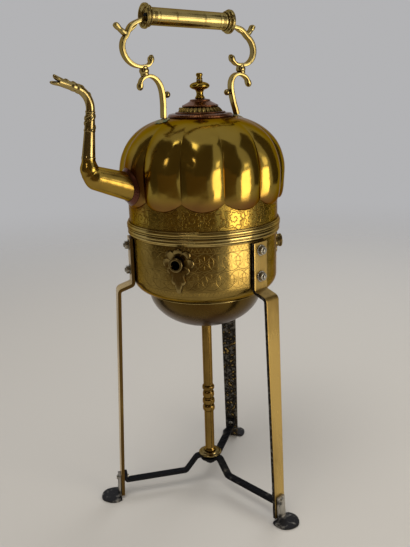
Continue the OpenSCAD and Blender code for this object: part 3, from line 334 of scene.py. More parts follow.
def brass(name, bright, dark, wear, engrave=None, flush=None):
    """Worn brass: cloudy tarnish that gathers in hollows, faint waviness and fine rubbing marks.
    engrave gives a pattern's cut lines from the material's coordinates, 1 in a line, and flush
    where heat and solder have reddened it, and where a dark reflection is painted in red-brown."""
    made = Finish(name, Metallic=1.0, Specular_Tint=edge_brass)
    spot = made.spot()
    cloud = made.noise(spot, 26, 4.0)
    speck = made.noise(spot, 420, 2.0)
    soot = made.hollow(0.005)
    tarnish = ((cloud - 0.42) * 2.2 + soot * 1.5 + wear).step(0.0, 1.6)
    waviness = made.noise(spot, 70, 1.0)
    height = waviness * 0.45 + speck * 0.015
    if engrave:
        lines = engrave(*made.axes(spot))
        tarnish = tarnish.most(lines * 0.85)
        height = height - lines * 0.22
    colour = made.blend(tarnish, bright, dark)
    if flush:
        colour = made.blend(flush(*made.axes(spot)) * (cloud * 0.9 + 0.45), colour, flush_and_reflection_brass)
    rough = tarnish * 0.16 + speck * 0.06 + 0.12
    return made.finish(colour, rough, height, 0.0008)


def scroll_band(x, y, z):
    """Running scrolls: in each cell a leafy spiral about a centre that lies high and low by turns,
    with rays and hatching between them. The spiral is a line where turn and distance agree, and a
    sine of the turn gives it a leaf's edge."""
    low, high, repeats = 0.3580, 0.3800, 24
    width = 2 * np.pi * skirt_r / 1000 / repeats
    around = y.turn_from(x) * (skirt_r / 1000)
    along = around / width
    side = (along.floor() / 2).fract() * 4 - 1
    across_cell = (along.fract() - 0.5) * width
    above = (z - (low + high) / 2) * side - 0.0012
    far = (across_cell * across_cell + above * above) ** 0.5
    turn = above.turn_from(across_cell) / (2 * np.pi)
    leafy = far * (1 + 0.13 * (turn * (2 * np.pi * 9)).sine())
    body = leafy.step(0.0094, 0.0090)
    spiral = abs((turn + leafy / 0.0052).fract() - 0.5).step(0.13, 0.06) * body
    rim = abs(leafy - 0.0092).step(0.0006, 0.0003)
    petal = abs((turn * 5 + far / 0.030).fract() - 0.5) + (far - 0.0105) / 0.012
    leaf = petal.step(0.34, 0.30) * (1 - body)
    edge = abs(petal - 0.34).step(0.07, 0.03) * (1 - body)
    strokes = abs(((around + z) / 0.0010).fract() - 0.5).step(0.35, 0.15)
    hatch = (1 - body).least(1 - leaf) * (strokes * 0.3 + 0.15)
    inside = z.step(low - 0.0006, low) * z.step(0.3886, 0.3880)
    fillet = abs(z - low + 0.0012).step(0.0005, 0.0002)
    out = (x * x + y * y) ** 0.5
    on_skirt = out.step(skirt_r / 1000 + 0.0007, skirt_r / 1000 + 0.0003)
    return (spiral.most(rim).most(edge).most(hatch) * inside).most(fillet) * on_skirt


def reddened(x, y, z):
    """The crown round the collar and the metal round the spout's root, where heat and solder have
    reddened it, and a painted reflection on the lobes' lower ends, which face down: red-brown that
    stands for a dark surface below them.
    """
    out = (x * x + y * y) ** 0.5
    crown = z.step(0.467, 0.4755) * 0.8
    # Painted reflection: the lobes' downward-facing lower ends are darkened red-brown as if they mirrored a
    # dark surface below.
    lobe_end_reflection = z.step(0.398, 0.382) * out.step(0.0882, 0.0890) * 0.85
    from_root = (y * y + (z - 0.403) * (z - 0.403)) ** 0.5
    return crown.most(lobe_end_reflection).most(from_root.step(0.040, 0.018) * x.step(-0.05, -0.07) * 0.9)


kettle_brass = brass("kettle_brass", bright_brass, brown_brass, 0.0, scroll_band, reddened)
piece("kettle_body", [body_grid], "kettle", kettle_brass, ["kettle_dome"])


# The kettle's foot: a drawn moulding of brass with two rounds and a fine bead between them,
# soldered round the skirt's lower edge.
def soften(points, radius, closed=True, steps=5):
    """Rounds each corner of an outline to a short curve that starts and ends at most radius away.
    Corners on a turned piece's axis stay sharp, and so do an open line's two ends."""
    points = np.asarray(points, float)
    before, after = np.roll(points, 1, 0), np.roll(points, -1, 0)
    to_before, to_after = before - points, after - points
    length_before = np.linalg.norm(to_before, axis=1, keepdims=True)
    length_after = np.linalg.norm(to_after, axis=1, keepdims=True)
    reach = np.minimum(np.minimum(radius, 0.45 * length_before), 0.45 * length_after)
    still = points[:, 0] < 1e-6 if closed else [0, -1]
    reach[still] = 0
    start = points + to_before / length_before * reach
    end = points + to_after / length_after * reach
    s = np.linspace(0, 1, steps)[None, :, None]
    curve = (1 - s) ** 2 * start[:, None] + 2 * s * (1 - s) * points[:, None] + s ** 2 * end[:, None]
    return curve.reshape(-1, 2)


def turned(profile, rounding=0.3, segments=144, ripple=None, stand=None):
    """A profile of radius and height, carried round an axis. ripple multiplies the radius by a
    function of the angle and the radius. stand places the piece: its foot, its axis and a direction
    across, all as vectors; without it the axis is the kettle's own."""
    profile = soften(profile, rounding)
    a = np.linspace(0, 2 * np.pi, segments, endpoint=False)
    radius = profile[:, :1] * (1 if ripple is None else ripple(a[None, :], profile[:, :1]))
    local = ring_grid(np.degrees(a), radius, profile[:, 1:])
    if stand is None:
        return local
    foot, along, aside = (np.asarray(v, float) for v in stand)
    along, aside = along / np.linalg.norm(along), aside / np.linalg.norm(aside)
    return foot + local @ np.stack([aside, np.cross(along, aside), along])


def offset(points, radius, height):
    """A profile's points, counted from the radius and the height given."""
    return [(radius + out, height + up) for out, up in points]


fit = 0.1
foot_in_r, foot_out_r = 86.4, 90.6
foot_moulding = [
    (-0.8, 0), (0, 0.7), (0, 1.4), (-0.8, 1.9), (-0.8, 2.3), (0.1, 2.9), (0.2, 4.4), (-0.4, 5.3), (-1.3, 5.6),
    (-1.4, 6.1), (-0.9, 6.6), (-1.3, 7.4)]
foot_profile = [
    (foot_in_r, foot_z), *offset(foot_moulding, foot_out_r, foot_z), (skirt_r + fit, foot_z + 7.6),
    (skirt_r + fit, skirt_low_z - fit), (foot_in_r, skirt_low_z - fit)]
foot_brass = brass("foot_brass", (0.56, 0.42, 0.14, 1), (0.06, 0.036, 0.011, 1), 0.15)
piece("kettle_foot_ring", [turned(foot_profile, 0.5, 240)], "kettle", foot_brass,
      ["kettle_foot"])


# The collar and the lid: a spun copper collar soldered into the crown, a flat copper lid with a
# fluted brass band, a copper cone in steps, and a turned brass finial with a small button.
def copper(name, bright, dark):
    """Copper gone red and brown, with smoky clouds and a soft polish."""
    made = Finish(name, Metallic=1.0)
    spot = made.spot()
    cloud = made.noise(spot, 60, 4.0)
    speck = made.noise(spot, 500, 2.0)
    tarnish = ((cloud - 0.45) * 2.0 + made.hollow(0.004) * 1.4).step(0.0, 1.3)
    colour = made.blend(tarnish, bright, dark)
    return made.finish(colour, tarnish * 0.2 + speck * 0.1 + 0.22, speck + cloud, 0.0003)


red_copper = copper("red_copper", (0.24, 0.10, 0.046, 1), (0.075, 0.026, 0.014, 1))
collar_r, neck_r, collar_land_z, collar_low_z = 37.5, 26.0, 477.0, 466.3


def crown_height(radius):
    """Height of the shell's crown at a radius, on a lobe's crest."""
    turn = np.arccos((np.asarray(radius, float) / dome_r) ** (1 / dome_power))
    return belly_z + (crown_z - belly_z) * np.sin(turn)


under_r = np.linspace(collar_r, dome_hole_r - 0.6, 8)
collar_profile = np.concatenate([
    np.stack([under_r, crown_height(under_r) + 0.1], 1),
    [(neck_r + 1.2, collar_low_z), (neck_r, collar_low_z), (neck_r, collar_land_z),
     (collar_r - 3.5, collar_land_z), (collar_r - 1.4, collar_land_z - 0.6),
     (collar_r, crown_height(collar_r) + 1.2)]])
piece("crown_collar", [turned(collar_profile, 0.35)], "kettle", red_copper, ["lid_collar"])

lid_z, lid_r, lid_t, bezel_r, bezel_h = 477.3, 28.8, 1.5, 25.0, 6.0
lid_profile = offset([
    (0, 1.3), (0, 0.2), (bezel_r - 1, 0), (bezel_r - 1, -bezel_h), (bezel_r, -bezel_h), (bezel_r, 0),
    (lid_r - 0.3, 0), (lid_r, 0.6), (lid_r - 0.6, lid_t), (bezel_r - 2.4, lid_t)], 0, lid_z)
piece("lid_plate", [turned(lid_profile, 0.25)], "lid", red_copper, ["lid_base"])

band_z, band_h, band_r, band_top_r, flutes = 478.9, 5.6, 25.6, 20.0, 28
band_rise = np.linspace(0, 1, 9)
band_out = band_r + (band_top_r - band_r) * band_rise + 0.7 * np.sin(np.pi * band_rise)
band_profile = np.concatenate([np.stack([band_out, band_z + band_h * band_rise], 1),
                               [(band_top_r - 3.4, band_z + band_h), (band_r - 4.2, band_z)]])


def fluted(angle, radius):
    """The outer face swells between narrow cuts, as a row of reeds does."""
    cut = 1 - np.abs(np.sin(angle * flutes / 2)) ** 0.6
    return np.where(radius > band_top_r - 1, 1 - 0.055 * cut, 1)


aged_brass = brass("aged_brass", (0.36, 0.26, 0.08, 1), (0.08, 0.048, 0.016, 1), 0.45)
band_grid = turned(band_profile, 0.25, flutes * 14, fluted)
piece("lid_fluted_band", [band_grid], "lid", aged_brass, ["lid_band"], 60)

cone_z, finial_z, finial_h, button_h = 484.6, 493.7, 27.5, 7.5
cone_profile = offset([
    (3, 1), (16.6, 0), (20.6, 0), (21, 0.9), (20, 1.7), (16, 3.5), (12.8, 5.2), (11.6, 6), (11.9, 7),
    (10.8, 7.7), (6.8, 8.3), (5, 9), (3, 9)], 0, cone_z)
piece("lid_copper_cone", [turned(cone_profile, 0.5)], "lid", red_copper, ["lid_cone"])
knob_turn = np.radians(np.linspace(-62, 70, 14))
finial_profile = [
    (0, cone_z + 1.5), (2.9, cone_z + 1.5),
    *offset([(2.9, 0), (5.7, 0), (5.5, 0.9), (4.2, 2.6), (3.8, 5), (4.3, 7.4)], 0, finial_z),
    *offset(np.stack([11.4 * np.cos(knob_turn), 4.8 * np.sin(knob_turn)], 1), 0, finial_z + 13.3),
    *offset([(3.5, 18.6), (3.4, 19.9), (0, 19.9)], 0, finial_z)]
button_profile = offset([
    (0, 0), (3.6, 0), (3.7, 1), (2.9, 2.2), (2.9, 3.2), (3.8, 4.6), (3.8, 6.2), (2.6, 7.4), (0, button_h)],
    0, finial_z + finial_h - button_h)
plain_brass = brass("plain_brass", bright_brass, brown_brass, 0.05)
finial_grid, button_grid = turned(finial_profile, 0.9), turned(button_profile, 0.5, 72)
piece("lid_turned_finial", [finial_grid], "lid", plain_brass, ["lid_finial"])
piece("lid_top_button", [button_grid], "lid", plain_brass, ["finial_button"])


# The spout: a tapered tube that rises from a lobe to a rounded heel, an upright, and a beak like a
# bird's, open at its jaws. It is cast and bent brass, brazed at the heel and soldered to the lobe
# under a copper washer. s is the distance from the kettle's axis towards the spout, which is -X.
def tube(spots, lean, size, depth=None, section=48, squareness=2.0):
    """Rings in the spout's plane, closed at both ends. spots are the rings' centres as s and z, lean
    is the direction of the tube there in radians, size half the thickness in the plane and depth
    half of it across. The rings are ellipses, or nearer to rectangles as squareness grows."""
    depth = size if depth is None else depth
    squareness = np.broadcast_to(squareness, (len(spots),))
    spots, lean, squareness = (np.concatenate([v[:1], v, v[-1:]]) for v in (spots, lean, squareness))
    size, depth = (np.pad(v, 1) for v in (size, depth))
    a = np.linspace(0, 2 * np.pi, section, endpoint=False)
    power = 2 / squareness[:, None]
    flat = np.sign(np.cos(a)) * np.abs(np.cos(a)) ** power
    wide = np.sign(np.sin(a)) * np.abs(np.sin(a)) ** power
    normal = np.stack([-np.sin(lean), np.cos(lean)], 1)
    plane = spots[:, None] + normal[:, None] * (size[:, None] * flat)[..., None]
    return np.stack([-plane[..., 0], depth[:, None] * wide, plane[..., 1]], -1)


def lean_of(line):
    """Direction of a line at each of its points, in radians."""
    step = np.gradient(line, axis=0)
    return np.unwrap(np.arctan2(step[:, 1], step[:, 0]))


elbow_s, elbow_z = 136.8, 414.3
root_slope, root_in_s, root_in_r, neck_r_low, neck_r_top = np.radians(16.3), 84.0, 16.2, 7.4, 4.75
neck_foot, neck_top = np.array([138.4, 435.8]), np.array([132.3, 486.0])
neck_lean = np.arctan2(*(neck_top - neck_foot)[::-1])
crook = np.array([128.2, 427.4])
heel_r, heel_waist, heel_taper = 12.9, 1.1, 3.3
root_run = np.linspace(0, 1, 12)[:-1, None]
root_start = np.array([root_in_s, elbow_z + (root_in_s - elbow_s) * np.tan(root_slope)])
# The heel is a fan of rings about the crook of the elbow
fan = np.linspace(0, 1, 20)
fan_lean = root_slope + (neck_lean - root_slope) * fan
fan_size = heel_r - heel_waist * np.sin(np.pi * fan) ** 2 - heel_taper * fan ** 1.4
fan_spots = crook - np.stack([-np.sin(fan_lean), np.cos(fan_lean)], 1) * fan_size[:, None]
flare = np.linspace(0, 1, 10)[1:, None]
flare_spots = fan_spots[-1] + (neck_foot - fan_spots[-1]) * flare
flare_size = neck_r_low + (fan_size[-1] - neck_r_low) * (1 - flare[:, 0]) ** 1.7
root_spots = np.concatenate([root_start + (fan_spots[0] - root_start) * root_run, fan_spots, flare_spots])
root_size = np.concatenate([root_in_r + (fan_size[0] - root_in_r) * root_run[:, 0], fan_size, flare_size])
root_lean = np.concatenate([np.full(len(root_run), root_slope), fan_lean, np.full(len(flare), neck_lean)])
brazed_ring = len(root_run) + len(fan) // 2
braze = 0.25 * np.exp(-((np.arange(len(root_size)) - brazed_ring) / 0.8) ** 2)
spout_brass = brass("spout_brass", (0.42, 0.275, 0.052, 1), (0.13, 0.068, 0.017, 1), 0.15)
piece("spout_heel", [tube(root_spots, root_lean, root_size + braze)], "kettle", spout_brass,
      ["spout_root"])

neck_run = np.linspace(0, 1, 90)
neck_spots = neck_foot + (neck_top - neck_foot) * neck_run[:, None]
neck_size = neck_r_low + (neck_r_top - neck_r_low) * neck_run ** 0.9


def swell(run, at, half, height):
    """A rounded ring on a tube, at a share of its length."""
    return height * np.clip(1 - ((run - at) / half) ** 2, 0, None) ** 0.5


for at, half, height in [(0.03, 0.025, 0.25), (0.59, 0.02, 0.5), (0.965, 0.02, 0.5)]:
    neck_size = neck_size + swell(neck_run, at, half, height)


def leaf_ridge(start, rise, turn_from, turn_to, thick):
    """A leaf's ridge wound part of the way round the upright: its middle line climbs with the turn
    on the tube's surface, and it is thickest halfway. Turn 0 faces the way the spout points."""
    t = np.linspace(0, 1, 30)
    turn = np.radians(turn_from + (turn_to - turn_from) * t)
    run = start + rise * t
    middle = neck_foot + (neck_top - neck_foot) * run[:, None]
    around = np.array([np.sin(neck_lean), -np.cos(neck_lean)])
    outward = np.stack([-around[0] * np.cos(turn), np.sin(turn), around[1] * np.cos(turn)], 1)
    radius = np.interp(run, neck_run, neck_size) + 0.1
    path = np.stack([-middle[:, 0], 0 * t, middle[:, 1]], 1) + radius[:, None] * outward
    course = np.gradient(path, axis=0)
    course /= np.linalg.norm(course, axis=1, keepdims=True)
    aside = np.cross(course, outward)
    size = thick * np.sqrt(np.clip(1 - (2 * t - 1) ** 2, 0, 1))[:, None, None]
    a = np.linspace(0, 2 * np.pi, 16, endpoint=False)[None, :, None]
    rings = 0.75 * np.cos(a) * outward[:, None] + 1.5 * np.sin(a) * aside[:, None]
    return path[:, None] + size * rings


leaves = [leaf_ridge(0.60, 0.20, 190, -60, 1.3), leaf_ridge(0.73, 0.20, 150, -100, 1.3),
          leaf_ridge(0.58, 0.15, -80, -220, 1.2), leaf_ridge(0.78, 0.15, -50, -190, 1.2)]
neck_brass = brass("neck_brass", (0.44, 0.335, 0.13, 1), (0.10, 0.065, 0.022, 1), 0.15)
upright_grid = tube(neck_spots, np.full(len(neck_run), neck_lean), neck_size)
piece("spout_upright", [upright_grid, *leaves], "kettle", neck_brass, ["spout_neck"])

bend_r, beak_slope, throat_l = 22.0, np.radians(20), 18.0
bend_middle = neck_top + bend_r * np.array([np.sin(neck_lean), -np.cos(neck_lean)])
bend_lean = np.linspace(neck_lean, beak_slope, 24)
bend_spots = bend_middle + bend_r * np.stack([-np.sin(bend_lean), np.cos(bend_lean)], 1)
forward = np.array([np.cos(beak_slope), np.sin(beak_slope)])
over = np.array([-forward[1], forward[0]])
throat_spots = bend_spots[-1] + forward * np.linspace(1, throat_l, 14)[:, None]
beak_spots = np.concatenate([bend_spots, throat_spots])
beak_lean = np.concatenate([bend_lean, np.full(len(throat_spots), beak_slope)])
beak_run = np.linspace(0, 1, len(beak_spots))
beak_size = 4.7 - 0.5 * beak_run + swell(beak_run, 0.55, 0.05, 0.6) + swell(beak_run, 0.68, 0.05, 0.5)
jaw_root = throat_spots[-1]


def jaw(points, thick, wide):
    """A tapering, curved jaw from the throat to its tip. Each point is given by how far it lies
    along the beak and over it."""
    line = np.array([jaw_root + a * forward + b * over for a, b in points])
    run = np.linspace(0, 1, 16)
    bend = np.stack([np.interp(run, np.linspace(0, 1, len(line)), line[:, k]) for k in (0, 1)], 1)
    bend[1:-1] = (bend[:-2] + 2 * bend[1:-1] + bend[2:]) / 4
    fade = np.sqrt(np.clip(1 - run ** 2.6, 0.02, 1))
    return tube(bend, lean_of(bend), thick * fade, wide * fade, 32)


low_jaw = jaw([(-2, -1.9), (3, -2.6), (6.5, -3.2), (9.2, -3.4)], 2.2, 3.4)
high_jaw = jaw([(-2, 2.0), (2.5, 2.4), (5.5, 3.4), (7.4, 5.0)], 2.5, 3.4)


def scale(ring):
    """A low rounded scale on the beak's ring of that number, tilted up at its front: an ellipse's
    half-chords along its middle line."""
    long, thick, wide, tilt = 3.4, 1.5, 2.6, beak_lean[ring] + 0.32
    middle = beak_spots[ring] + 3.6 * np.array([-np.sin(beak_lean[ring]), np.cos(beak_lean[ring])])
    t = np.linspace(-1, 1, 15)
    line = middle + long * t[:, None] * np.array([np.cos(tilt), np.sin(tilt)])
    chord = np.sqrt(np.clip(1 - t ** 2, 0.01, 1))
    return tube(line, np.full(len(t), tilt), thick * chord, wide * chord, 28)


beak_grids = [tube(beak_spots, beak_lean, beak_size), low_jaw, high_jaw, *map(scale, (11, 18, 25, 31))]
piece("spout_bird_beak", beak_grids, "kettle", neck_brass, ["spout_beak"])

flange_angle = np.radians(np.linspace(0, 360, 96, endpoint=False))
axis_along = np.array([-np.cos(root_slope), 0, np.sin(root_slope)])
axis_over = np.array([np.sin(root_slope), 0, np.cos(root_slope)])
axis_point = np.array([0, 0, elbow_z - elbow_s * np.tan(root_slope)])


def against_shell(radius, lift):
    """Points round the spout's root at a radius, moved along it until they lie on the lobed shell,
    then lifted off it."""
    away = dome_r / np.cos(root_slope) + 0 * flange_angle
    ring = axis_point + radius * (np.sin(flange_angle)[:, None] * np.array([0, 1, 0])
                                  + np.cos(flange_angle)[:, None] * axis_over)
    for _ in range(8):
        spot = ring + away[:, None] * axis_along
        z = spot[:, 2]
        angle = np.degrees(np.arctan2(spot[:, 1], spot[:, 0]))
        low_z = groove(angle)[1]
        rise = (z - belly_z) / np.where(z < belly_z, belly_z - low_z, crown_z - belly_z)
        turn = np.degrees(np.arcsin(np.clip(rise, -1, 1)))
        away = away + (shell(angle, turn, 0)[0] - np.hypot(spot[:, 0], spot[:, 1])) / np.cos(root_slope)
    return ring + (away + lift)[:, None] * axis_along


dark_copper = copper("dark_copper", (0.13, 0.048, 0.030, 1), (0.045, 0.018, 0.012, 1))
washer_section = [(15.7, 0.2), (19.5, 0.2), (19.6, 0.7), (18.9, 1.3), (17.6, 1.6), (16.6, 2.3), (15.8, 2.6)]
washer_grid = np.stack([against_shell(radius, lift) for radius, lift in washer_section])
piece("spout_copper_washer", [washer_grid], "kettle", dark_copper, ["spout_flange"])


# The handle: two cast scroll brackets soldered to the crown, each a C over an S with a spur above
# and a bead inside, and a hollow turned grip held between ringed caps. It leans to the spout.
handle_lean, lean_z, grip_l, grip_up = 0.14, 480.3, 109.0, 102.5
grip_z, grip_slope = 577.8, np.radians(2.4)
grip_mid_s = handle_lean * (grip_z - lean_z) - 1.5
grip_rise = grip_l / 2 * np.tan(grip_slope)


def smooth_line(points, count):
    """A smooth line through the points: each stretch is a cubic whose ends follow the neighbours."""
    points = np.asarray(points, float)
    padded = np.concatenate([2 * points[:1] - points[1:2], points, 2 * points[-1:] - points[-2:-1]])
    t = np.linspace(0, len(points) - 1 - 1e-9, count)
    k, f = t.astype(int), (t % 1)[:, None]
    a, b, c, d = (padded[k + j] for j in range(4))
    bent = (2 * a - 5 * b + 4 * c - d) * f ** 2 + (3 * b - a - 3 * c + d) * f ** 3
    return 0.5 * (2 * b + (c - a) * f + bent)


def bracket(side):
    """Grids of one bracket, through points given by their distance out from the lid's axis and
    their height above the crown, before the lean. side is 1 towards the spout and -1 away."""
    rise = side * grip_rise
    drop_r, drop_half, scroll_r, ball_r = 3.25, 4.4, 17.6, 3.6
    arc = np.radians(np.arange(52, -105, -13))
    upper = np.concatenate([
        [(grip_l / 2 - 2.6 - side * 1.5, grip_up - 2.6 + rise), (grip_l / 2 + 3, grip_up - 4.8 + rise),
         (68.5, grip_up - 8.8 + rise / 2)],
        np.stack([65 + scroll_r * np.cos(arc), 71 + scroll_r * np.sin(arc)], 1),
        [(56.2, 54.8), (52.6, 58.2), (51.2, 63.2), (51.6, 65.4)]])
    lower = [(70.6, 28.6), (69.8, 34.0), (67.2, 39.6), (62, 43), (56, 43.6), (50.5, 41), (46.8, 36),
             (45.2, 30), (45, 23), (45.9, 13), (47.3, 5), (48.2, -1.5)]
    spur = [(74.6, 86.4), (77.2, 87.4), (80.0, 89.6), (83.6, 93.2), (86.6, 97.2)]
    web = [(62, 94.5 + rise / 2), (67.5, 91.2 + rise / 3), (73, 88.9), (78.5, 89.2)]
    neck = [(62, 55.5), (62, 49), (62, 42)]
    bead = [(45.5, 23.5), (43.6, 23.5), (41.4, 23.5), (38.6, 23.5), (35.4, 23.5)]

    def strap(points, count, thick, wide, squareness, section=40):
        """A bar along the smooth line through the points, in the leaning handle's place."""
        out, up = smooth_line(points, count).T
        spots = np.stack([side * out + handle_lean * (up + crown_z - lean_z), up + crown_z], 1)
        return tube(spots, lean_of(spots), thick, wide, section, squareness)

    def free_end(points, count, at_start=False):
        """A strap's count, half thickness, half width and squareness, where it thins towards its
        free end and closes in a round drop there. The drop is an ellipse's half-chords."""
        line = smooth_line(points, count)
        gone = np.concatenate([[0], np.cumsum(np.linalg.norm(np.diff(line, axis=0), axis=1))])
        back = gone if at_start else gone[-1] - gone
        chord = np.sqrt(np.clip(1 - (back / drop_half - 1) ** 2, 0.0004, 1))
        slim = 1.65 + 0.6 * np.clip((back - 8) / 30, 0, 1)
        thick = np.where(back < drop_half, drop_r * chord, np.maximum(slim, drop_r * chord))
        wide = np.where(back < drop_half, 1.35 * drop_r * chord, 1.35 * drop_r)
        return count, thick, wide, 2.4 + 3.6 * np.clip((back - drop_half) / 12, 0, 1)

    run = np.linspace(0, 1, 30)
    collar = 3.3 + swell(run, 0.5, 0.2, 1.5) + swell(run, 0.22, 0.1, 0.9) + swell(run, 0.78, 0.1, 0.9)
    ball_out = smooth_line(bead, 40)[:, 0]
    ball = np.sqrt(np.clip(ball_r ** 2 - (ball_out - 39) ** 2, 0.01, None))
    ball = np.where(ball_out > 40, np.maximum(ball, 2.4), ball)
    spur_run = np.linspace(0, 1, 40)
    leaf = 2.1 + 1.5 * (1 - spur_run) ** 2 + swell(spur_run, 0.84, 0.16, 0.7)
    leaf[-6:] = leaf[-7] * np.sqrt(1 - (np.arange(1, 7) / 6.1) ** 2)
    return [strap(upper, *free_end(upper, 200)),
            strap(lower, *free_end(lower, 160, True)),
            strap(spur, 40, leaf, np.minimum(leaf * 1.7, 4.2), 3.0),
            strap(web, 24, 1.9 * np.sin(np.pi * np.linspace(0.1, 0.9, 24)), np.full(24, 3.4), 3.0),
            strap(neck, 30, collar, collar * 1.25, 2.6),
            strap(bead, 40, ball, ball, 2.0, 28)]


handle_brass = brass("handle_brass", (0.43, 0.335, 0.125, 1), (0.13, 0.09, 0.03, 1), 0.15)
piece("bracket_spout_side", bracket(1), "kettle", handle_brass, ["bracket_front"])
piece("bracket_rear_side", bracket(-1), "kettle", handle_brass, ["bracket_back"])


verdigris = Finish("verdigris_solder", Metallic=0.55)
stain = verdigris.noise(verdigris.spot(), 160, 4.0)
verdigris.finish(verdigris.blend(stain.step(0.4, 0.62), (0.30, 0.24, 0.10, 1), (0.17, 0.21, 0.12, 1)),
                 stain * 0.3 + 0.35, stain, 0.0012)


def solder(name, side, node):
    """A lumpy disc of solder over the crown round a bracket's foot: its radius waves, and it thins
    from the middle to the rim."""
    pad_r, foot_s, behind = 8.6, 49.5, 0.7
    a = np.linspace(0, 2 * np.pi, 72, endpoint=False)
    reach = pad_r + 0.9 * np.sin(3 * a + side) + 0.5 * np.sin(7 * a)
    share = np.array([0.0, 0.3, 0.55, 0.75, 0.9, 1.0, 1.0, 0.6, 0.0])[:, None]
    lift = np.array([2.6, 2.3, 1.7, 1.3, 1.0, 0.55, 0.25, 0.25, 0.25])[:, None]
    x = -side * foot_s + behind + share * reach * np.cos(a)
    y = share * reach * np.sin(a)
    lumps = 0.3 * np.sin(x * 0.9 + side) * np.sin(y * 0.8) * (lift > 0.6)
    z = crown_height(np.hypot(x, y)) + lift + lumps
    piece(name, [np.stack([x, y, z], -1)], "kettle", verdigris, [node], 80)


solder("solder_spout_side", 1, "pad_front")
solder("solder_rear_side", -1, "pad_back")

grip_axis = np.array([-np.cos(grip_slope), 0, np.sin(grip_slope)])
grip_middle = np.array([-grip_mid_s, 0, grip_z])
half_tube, grip_r = grip_l / 2 - 5.5, 9.3
# Each turned line: how far it lies from the cap, and its depth
grip_lines = {28.4: 0.1, 27.0: 0.12, 7.4: 0.2, 3.6: 0.25, 2.2: 0.25, 0.8: 0.3}
grip_cuts = np.concatenate([offset([(0, -0.35), (-depth, 0), (0, 0.35)], grip_r, half_tube - 4 - from_cap)
                            for from_cap, depth in grip_lines.items()])
grip_profile = np.concatenate([[(0, -half_tube), (grip_r, -half_tube)], (grip_cuts * [1, -1])[::-1],
                               grip_cuts, [(grip_r, half_tube), (0, half_tube)]])
grip_grid = turned(grip_profile, 0.2, 96, stand=(grip_middle, grip_axis, (0, 1, 0)))
piece("grip_turned_tube", [grip_grid], "kettle", handle_brass, ["grip_tube"])

cap_in = grip_r + fit
cap_profile = offset([
    (cap_in, -7.5), (cap_in + 1.2, -7.5), (cap_in + 1.9, -6.9), (cap_in + 1.9, -6.1), (cap_in + 1.1, -5.4),
    (cap_in + 1.2, -4.8), (12.3, -4.2), (13.1, -3.3), (13.2, -2.4), (12.7, -1.9), (12.7, -1.5), (13.1, -1.1),
    (12.9, -0.3), (12.2, 0), (10.9, 0), (10.6, -1.2), (8.4, -2.6), (8.0, -4), (3.1, -4), (3.1, -5.4),
    (cap_in, -5.4)], 0, grip_l / 2)
for name, side, node in [("grip_cap_spout_side", 1, "grip_cap_front"),
                         ("grip_cap_rear_side", -1, "grip_cap_back")]:
    cap_grid = turned(cap_profile, 0.5, 96, stand=(grip_middle, side * grip_axis, (0, 1, 0)))
    piece(name, [cap_grid], "kettle", handle_brass, [node])


# The brazier: a spun brass wall with a rounded shoulder, engraved with two rows of interlaced
# rings and stars between zigzags, a rolled rim, and a raised bowl below, painted dark brown as a
# dark reflection and darker still towards its bottom and in scorched clouds.
rim_z, wall_r, sheet, shoulder_r, seam_z, lap = 349.5, 86.5, 1.3, 17.0, 271.0, 2.0


def star_rings(x, y, z):
    """Two rows of rings, each overlapping the next, with an eight-pointed star in each, and a
    zigzag between fillets above and below."""
    ring_r, rings, tooth_w = 0.0102, 36, 0.0045
    pitch = 2 * np.pi * wall_r / 1000 / rings
    around = y.turn_from(x) * (wall_r / 1000)
    tooth = abs((around / tooth_w).fract() - 0.5) * (2 * tooth_w)
    cuts = []
    for row_z, start in ((0.3225, 0.5), (0.3018, 0.0)):
        cell = ((around / pitch + start).fract() - 0.5) * pitch
        up = z - row_z
        for aside in (cell - pitch, cell, cell + pitch):
            far = (aside * aside + up * up) ** 0.5
            cuts.append(abs(far - ring_r).step(0.0005, 0.0002))
        far = (cell * cell + up * up) ** 0.5
        rays = abs((up.turn_from(cell) * 4).sine()).step(0.24, 0.06)
        cuts.append(rays * far.step(0.0078, 0.0068) * far.step(0.0005, 0.0012))
    for base_z in (0.2842, 0.3345):
        cuts.append(abs(z - base_z - tooth).step(0.0005, 0.0002))
        cuts += [abs(z - fillet_z).step(0.0004, 0.00015) for fillet_z in (base_z - 0.0012, base_z + 0.0056)]
    return functools.reduce(Wire.most, cuts) * 0.6


fire_brass = brass("fire_brass", (0.36, 0.245, 0.065, 1), (0.085, 0.055, 0.017, 1), 0.3, star_rings)
shoulder = np.radians(np.linspace(0, 90, 14))


def shoulder_line(radius):
    """The wall's rounded lower corner, from its foot inwards."""
    return np.stack([wall_r - shoulder_r + radius * np.cos(shoulder),
                     seam_z + lap + shoulder_r - radius * np.sin(shoulder)], 1)


wall_profile = np.concatenate([
    [(wall_r, rim_z - 3)], shoulder_line(shoulder_r),
    [(wall_r - shoulder_r, seam_z), (wall_r - shoulder_r - sheet, seam_z)],
    shoulder_line(shoulder_r - sheet)[::-1], [(wall_r - sheet, rim_z - 3)]])
wall_grid = turned(wall_profile, 0.4, 240)
brazier_wall = piece("brazier_wall", [wall_grid], "stand", fire_brass, ["fire_wall"])
on_wall_r, rim_r, rim_h = wall_r + fit, wall_r + 3.5, 8.5
rim_profile = [
    *offset([(0, 0), (1.1, 0), (1.6, 1.3)], on_wall_r, rim_z - rim_h),
    *offset([(-0.7, 1.8), (0, 2.8), (0, 3.9), (-0.9, 4.6), (-0.9, 5.1), (0, 5.7), (0, rim_h - 1.1),
             (-0.9, rim_h)], rim_r, rim_z - rim_h),
    (wall_r - sheet, rim_z), (wall_r - sheet, rim_z - 2.9), (on_wall_r, rim_z - 2.9)]
rim_brass = brass("rim_brass", (0.60, 0.46, 0.17, 1), (0.055, 0.034, 0.011, 1), 0.15)
piece("brazier_rim", [turned(rim_profile, 0.45, 240)], "stand", rim_brass, ["fire_rim"])

